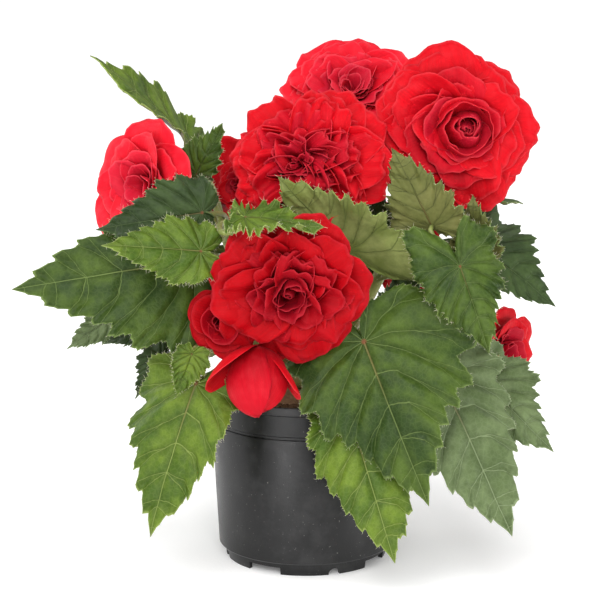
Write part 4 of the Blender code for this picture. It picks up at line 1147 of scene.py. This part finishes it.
# %% The crown, the stems and all stalks
CROWN_RADIUS, CROWN_HEIGHT = 11 * MM, 112 * MM
STEM_RADII, STEM_SIDES, STALK_SIDES = (5.4, 3.2), 20, 12  # radii in millimetres at the start and the end
LEAF_STALK_RADII, FLOWER_STALK_RADII, BUD_STALK_RADII = (2.1, 1.5), (2.4, 1.9), (1.6, 1.2)
LEAF_STALK_SWELLING, FLOWER_STALK_SWELLING = 0.5, 0.4
crown = bmesh.new()
middle = Matrix.Translation((0, 0, CROWN_HEIGHT))
bmesh.ops.create_uvsphere(crown, u_segments=32, v_segments=20, radius=CROWN_RADIUS, matrix=middle)
tubes = [crown] + [tube(through(knots), STEM_RADII, STEM_SIDES) for knots in stems]
for leaf in LEAVES.values():
    tubes.append(tube(leaf_route(leaf), LEAF_STALK_RADII, STALK_SIDES, LEAF_STALK_SWELLING))
for flower in FLOWERS.values():
    route = flower_route(flower_place(flower), FLOWER_DEPTH * flower.radius * MM)
    tubes.append(tube(route, FLOWER_STALK_RADII, STALK_SIDES, FLOWER_STALK_SWELLING))
for bud in BUDS.values():
    route = flower_route(bud_place(bud), bud.half_length * MM)
    tubes.append(tube(route, BUD_STALK_RADII, STALK_SIDES, FLOWER_STALK_SWELLING))
print("crown and tubes:", len(tubes))

# %% [markdown]
# Fresh stems are olive green with a flush of red-brown near the crown, fine lengthwise ribs, and pale
# spots. The red fades with height above the mix, read from the Object coordinate Z.

# %% Stem finish
juicy = Finish("juicy_stem", 0.42, Specular_IOR_Level=0.45)
spot = juicy.place()
height = juicy.node("SeparateXYZ", {0: spot}).outputs["Z"]
flush = juicy.step(height, 0.105, 0.20, 1.0, 0.0)
mottle = juicy.speckle(spot, 180, 4, 0.6)
flush = juicy.times(flush, juicy.step(mottle, 0.25, 0.65))
ribs = juicy.speckle(juicy.drawn_out(spot, 1, 1, 0.12), 1500, 2)
dots = juicy.step(juicy.speckle(spot, 700, 1), 0.68, 0.74)
stem_colour = juicy.paint(
    juicy.mix(mottle, shown(104, 116, 54), shown(150, 158, 92)),
    (juicy.times(flush, 0.6), shown(128, 76, 52)),
    (dots, shown(178, 178, 130)),
)
juicy.wear(stem_colour, juicy.bump(ribs, 0.00012))
make_piece("stems_and_stalks", joined(tubes), [juicy], "stems", "stems")
print("stems replaced")

# %% [markdown]
# ## Flowers: the petals
#
# A double begonia has dozens of petals in rings, wide and rounded outside, smaller and more upright
# within. One petal is a flat grid that is rolled round the flower's axis, leans outwards as it rises,
# is folded along its middle and ruffled along its free edge. The same function makes all of them from
# a few numbers, and each flower's habit is a list of such rings: rose-like, a rosette, ruffled like a
# carnation, open, domed, a shell or a hanging bell, whose few outer petals have a ring and a place of
# their own. No two petals of a ring get the same width, tilt and folds, or the flower would look like
# a pinwheel.

# %% Habits of the flowers
# count; length and half width over the radius; lean at root and end in degrees; ruffle; curl; stray in
# degrees; place of the first petal round the axis in degrees; how far a petal may wrap round it, in radians
RING_FIELDS = "count length half_width root_angle end_angle ruffle curl stray first wrap"
Ring = namedtuple("Ring", RING_FIELDS, defaults=(None, 9))
HABITS = {
    "rose": (
        Ring(7, 1.03, 0.56, 38, 99, 0.040, 0.5, 5), Ring(7, 0.98, 0.52, 34, 91, 0.046, 0.6, 6),
        Ring(7, 0.92, 0.48, 28, 83, 0.048, 0.7, 7), Ring(6, 0.85, 0.46, 22, 73, 0.046, 0.6, 8),
        Ring(6, 0.78, 0.43, 16, 60, 0.040, 0.5, 8), Ring(5, 0.72, 0.42, 12, 43, 0.032, 0.3, 8),
        Ring(4, 0.80, 0.40, 56, -20, 0.030, 0.0, 8), Ring(4, 0.72, 0.34, 46, -36, 0.030, 0.0, 10),
        Ring(3, 0.64, 0.26, 36, -40, 0.034, 0.0, 12), Ring(3, 0.58, 0.18, 20, -26, 0.040, 0.0, 12),
    ),
    "rosette": (
        Ring(6, 1.04, 0.58, 38, 98, 0.042, 0.4, 5), Ring(7, 0.98, 0.50, 33, 89, 0.060, 0.6, 8),
        Ring(7, 0.90, 0.45, 27, 80, 0.072, 0.7, 10), Ring(7, 0.82, 0.41, 20, 69, 0.076, 0.7, 11),
        Ring(6, 0.75, 0.38, 13, 56, 0.070, 0.5, 11), Ring(5, 0.68, 0.36, 6, 38, 0.055, 0.3, 9),
        Ring(4, 0.66, 0.33, 30, -6, 0.034, 0.0, 7), Ring(3, 0.58, 0.26, 22, -26, 0.022, 0.0, 6),
    ),
    "ruffled": (
        Ring(8, 1.06, 0.46, 39, 97, 0.060, 0.4, 6), Ring(9, 1.00, 0.42, 33, 91, 0.080, 0.5, 9),
        Ring(9, 0.95, 0.39, 26, 84, 0.096, 0.5, 11), Ring(8, 0.89, 0.37, 18, 76, 0.104, 0.5, 12),
        Ring(8, 0.83, 0.35, 11, 68, 0.104, 0.4, 14), Ring(7, 0.76, 0.33, 4, 58, 0.096, 0.4, 14),
        Ring(6, 0.70, 0.30, -3, 46, 0.084, 0.3, 14), Ring(4, 0.62, 0.26, -8, 26, 0.064, 0.1, 12),
    ),
    "open": (
        Ring(5, 1.06, 0.62, 28, 94, 0.030, 0.3, 5), Ring(6, 0.93, 0.50, 18, 76, 0.040, 0.4, 7),
        Ring(5, 0.78, 0.42, 10, 58, 0.044, 0.3, 8), Ring(4, 0.66, 0.34, 0, 34, 0.034, 0.1, 8),
    ),
    "domed": (
        Ring(8, 1.04, 0.56, 38, 98, 0.050, 0.5, 5), Ring(8, 0.99, 0.52, 34, 91, 0.062, 0.6, 7),
        Ring(7, 0.94, 0.50, 28, 84, 0.070, 0.7, 9), Ring(7, 0.88, 0.48, 22, 76, 0.072, 0.6, 10),
        Ring(6, 0.82, 0.46, 16, 66, 0.070, 0.5, 10), Ring(5, 0.76, 0.45, 10, 54, 0.062, 0.4, 10),
        Ring(4, 0.70, 0.44, 4, 40, 0.050, 0.3, 9), Ring(3, 0.64, 0.42, 0, 24, 0.040, 0.2, 8),
    ),
    "shell": (
        Ring(5, 1.06, 0.66, 28, 92, 0.016, 0.2, 4), Ring(3, 0.98, 0.80, 28, 64, 0.016, 0.2, 6),
        Ring(3, 0.90, 0.74, 24, 36, 0.016, 0.1, 8), Ring(3, 0.82, 0.50, 16, 4, 0.020, 0.0, 10),
    ),
    "hanging": (
        Ring(1, 1.57, 0.90, 80, 20, 0.018, 0.2, 2, 162), Ring(1, 1.58, 0.60, 60, 6, 0.014, 0.2, 2, 2),
        Ring(1, 2.26, 0.70, 78, -78, 0.014, 0.0, 3, 122, 1.00),
        Ring(2, 2.10, 0.68, 78, -80, 0.008, 0.0, 2, 15, 1.10),
        Ring(1, 1.95, 0.68, 78, -80, 0.008, 0.0, 2, 285, 1.10),
        Ring(4, 1.95, 0.66, 78, -84, 0.006, 0.0, 2, 60, 1.20),
    ),
}
print("petals of a ruffled flower:", sum(ring.count for ring in HABITS["ruffled"]))

# %% Roll one petal
PETAL_FACES, PETAL_THICKNESS = (18, 12), 0.35 * MM
ROOT_RADIUS, ROOT_DEPTH = 0.05, 0.45  # over the flower's radius
ROOT_WIDTH, FULL_WIDTH_AT, CURL_FROM = 0.14, 0.72, 0.74  # over the petal's full width, and over its length


def grow_petal(ring, radius, inward, dice):
    """One petal as a thin sheet, rolled round the flower's axis about +X."""
    bm = bmesh.new()
    bmesh.ops.create_grid(bm, x_segments=PETAL_FACES[0], y_segments=PETAL_FACES[1], size=1)
    petal_map = bm.verts.layers.float_vector.new("petal_map")
    start = math.radians(ring.root_angle)
    end = math.radians(ring.end_angle + dice.gauss(0, ring.stray / 2))
    turn = end - start or 0.01  # no petal is quite straight, as its length is divided by this
    length, width = ring.length * radius * dice.uniform(0.92, 1.04), dice.uniform(0.88, 1.12)
    phases = [dice.uniform(0, math.tau) for _ in range(5)]
    raggedness = min(1.1, ring.ruffle / 0.045)  # a smooth petal has a smooth rim
    waves = dice.uniform(3.2, 5.0) + 24 * ring.ruffle
    tilt, fold = dice.gauss(0, 0.006 * ring.stray), dice.uniform(-0.4, 1.0) * (0.04 + ring.ruffle)
    shade = inward + dice.uniform(-0.2, 0.2)
    for point in bm.verts:
        across, along = point.co.x, (point.co.y + 1) / 2
        point[petal_map] = (across, along, shade)
        # the free edge is rounded and has small nicks
        nick = 0.028 * math.sin(4.3 * across + phases[0]) + 0.016 * math.sin(11 * across + phases[1])
        along *= 1 - along * (0.07 * across**2 + 0.21 * across**10 + raggedness * nick)
        # the sheet bends evenly from its root to its free edge
        lean = start + turn * along
        out = ROOT_RADIUS * radius + length * (math.cos(start) - math.cos(lean)) / turn
        up = length * (math.sin(lean) - math.sin(start)) / turn - ROOT_DEPTH * radius
        # it is narrow at its root and a little narrower again at its free edge
        widening = blend((ROOT_WIDTH, 1), math.sin(min(1, along / FULL_WIDTH_AT) * math.pi / 2))
        half_width = ring.half_width * radius * width * widening * (1 - 0.22 * along**3)
        # ruffles grow towards the free edge, small ones on broad ones
        free = along**1.4 * (0.5 + 0.5 * abs(across))
        ruffle = ring.ruffle * free * math.sin(waves * across + phases[2] + 1.3 * along)
        ruffle += 0.28 * ring.ruffle * along**5 * math.sin(2.2 * waves * across + phases[3])
        ruffle += 0.018 * along * math.sin(2.2 * across + 3.1 * along + phases[4])
        # the edge rolls back, one side is tilted up and both are folded
        curl = ring.curl * (0.8 + 0.3 * math.sin(3 * across + phases[0]))
        roll = curl * max(0.0, along - CURL_FROM) ** 2 * 1.6
        lift = radius * (ruffle + tilt * across * min(1, 2.5 * along) - roll + fold * across**2 * along)
        # and the whole is wrapped round the flower's axis
        around = across * min(ring.wrap, half_width / max(out, 0.2 * half_width))
        out -= math.cos(lean) * lift
        point.co = (out * math.cos(around), out * math.sin(around), up + math.sin(lean) * lift)
    bmesh.ops.recalc_face_normals(bm, faces=bm.faces)
    return bm


print("points of a petal:", (PETAL_FACES[0] + 1) * (PETAL_FACES[1] + 1))


# %% Set the petals in rings
def grow_flower(flower):
    """All petals of a flower, ring by ring, each in its place."""
    dice = random.Random(flower.seed)
    radius = flower.radius * MM
    place = flower_place(flower)
    rightwards = place.to_3x3().inverted() @ Vector((1, 0, 0))
    rings = HABITS[flower.habit]
    petals = []
    for level, ring in enumerate(rings):
        inward = level / (len(rings) - 1)
        heart = radius * inward * (flower.heart * rightwards)
        heart.z = 0
        turn = dice.uniform(0, math.tau) if level else 0
        if ring.first is not None:
            turn = math.radians(ring.first)
        for number in range(ring.count):
            bm = grow_petal(ring, radius, inward, dice)
            azimuth = turn + math.tau * number / ring.count + dice.gauss(0, math.radians(1.3 * ring.stray))
            spin = Matrix.Translation(heart) @ Matrix.Rotation(azimuth, 4, "Z")
            bmesh.ops.transform(bm, matrix=place @ spin, verts=bm.verts)
            petals.append(bm)
    return petals


print("habits in use:", sorted({flower.habit for flower in FLOWERS.values()}))

# %% [markdown]
# The red is a warm scarlet outside and a deeper crimson within, partly the heart's own colour and
# partly painted shade where petals shade each other. Each petal is painted darker towards its root as
# shade where the others cover it, and a painted highlight turns its thin edge into a pink line. Fine
# veins fan out lengthwise. They come from a noise that is stretched along the petal's own map, so they
# follow every fold. Some light passes through, as it does through a real petal, and warms the folds.


# %% Petal finish
SHEEN_TINT, WARM_GLOW = (1.0, 0.25, 0.30, 1), (0.9, 0.004, 0.008)


def petal_finish(name, deep, full, heart, edge):
    """The finish of a petal, from its reds at the root (painted shade), outside, in the heart and on the
    edge (painted highlight).
    """
    petal = Finish(name, 0.5, Specular_IOR_Level=0.08, Sheen_Weight=0.03, Sheen_Roughness=0.45)
    petal.shader.inputs["Sheen Tint"].default_value = SHEEN_TINT
    mapped = petal.own_map("petal_map")
    across, along, inward = petal.node("SeparateXYZ", {0: mapped}).outputs
    veins = petal.speckle(petal.drawn_out(mapped, 16, 1.1, 40), 1.0, 3, 0.55)
    blotch = petal.speckle(petal.place(), 160, 3)
    beyond = petal.math("MAXIMUM", along, petal.times(petal.math("ABSOLUTE", across), 0.97))
    colour = petal.paint(
        # the heart's crimson is partly its own colour and partly painted shade, where petals cover each
        # other
        petal.mix(petal.step(inward, 0.25, 1.0), full, heart),
        # painted shade: each petal is darker towards its root, where the other petals cover it
        (petal.step(along, 0.15, 0.75, 1.0, 0.0), deep),
        (petal.times(petal.step(veins, 0.35, 0.7), 0.20), deep),
        (petal.times(petal.step(blotch, 0.4, 0.8), 0.10), edge),
        # painted highlight: a pink line along the petal's free edge and sides
        (petal.step(beyond, 0.96, 1.0, 0.0, 0.28), edge),
    )
    relief = petal.bump(veins, 0.00030)
    relief = petal.bump(petal.speckle(petal.place(), 2600, 1), 0.00005, relief)
    petal.wear(colour, relief)
    petal.let_light_through(0.18, petal.mix(0.5, colour, WARM_GLOW), relief)
    return petal


# reds at the root, outside, in the heart and on the edge; painted_shade_petal is a deeper copy of
# red_petal, painted shade for flowers that lie in shadow, and painted_light_petal a lighter copy, painted
# light for those lit from above
PETAL_TONES = {
    "painted_shade_petal": ((0.17, 0.001, 0.003), (0.44, 0.001, 0.005), (0.30, 0.004, 0.013), (0.66, 0.04, 0.06)),
    "red_petal": ((0.25, 0.001, 0.004), (0.62, 0.003, 0.010), (0.44, 0.008, 0.026), (0.85, 0.08, 0.10)),
    "painted_light_petal": ((0.38, 0.004, 0.012), (0.78, 0.010, 0.026), (0.62, 0.014, 0.040), (0.95, 0.14, 0.18)),
}
petals_of = {tone: petal_finish(tone, *colours) for tone, colours in PETAL_TONES.items()}
# the flowers that wear the painted shade or the painted light; all others are red_petal
TONE_OF_FLOWER = {
    "front": "painted_shade_petal", "front_side": "painted_shade_petal",
    "upper_middle": "painted_light_petal", "left": "painted_light_petal",
}
print("petal finishes:", len(petals_of))

# %% Make every flower
for name, flower in FLOWERS.items():
    petals = grow_flower(flower)
    count = len(petals)
    finish = petals_of[TONE_OF_FLOWER.get(name, "red_petal")]
    piece = make_piece("petals_" + name, joined(petals), [finish], "bloom_" + name, "bloom_" + name)
    thicken(piece, PETAL_THICKNESS)
    print("flower", name, "has", count, "petals")

# %% [markdown]
# ## The flower bud
#
# A closed bud is two outer petals pressed together, flat and pointed. A sphere is narrowed, flattened
# and given a shallow seam where the two petals meet.

# %% Press a sphere into a bud
BUD_WIDTH, BUD_FLATNESS, BUD_TAPER, SEAM_DEPTH, SEAM_WIDTH = 0.62, 0.75, 0.35, 0.14, 0.12
for name, bud in BUDS.items():
    bm = bmesh.new()
    bmesh.ops.create_uvsphere(bm, u_segments=48, v_segments=32, radius=1)
    petal_map = bm.verts.layers.float_vector.new("petal_map")
    for point in bm.verts:
        x, y, z = point.co
        narrow = BUD_WIDTH * (1 - BUD_TAPER * z)
        seam = 1 - SEAM_DEPTH * math.exp(-((y / SEAM_WIDTH) ** 2)) * (1 - z * z)
        point[petal_map] = (x * 0.8, 0.5 + 0.3 * z, 0.3)
        point.co = Vector((x * narrow * seam, y * narrow * BUD_FLATNESS, z)) * (bud.half_length * MM)
    bmesh.ops.transform(bm, matrix=bud_place(bud), verts=bm.verts)
    make_piece("closed_bud_" + name, bm, [petals_of["red_petal"]], "bud_" + name, "bud_" + name)
print("bud replaced")
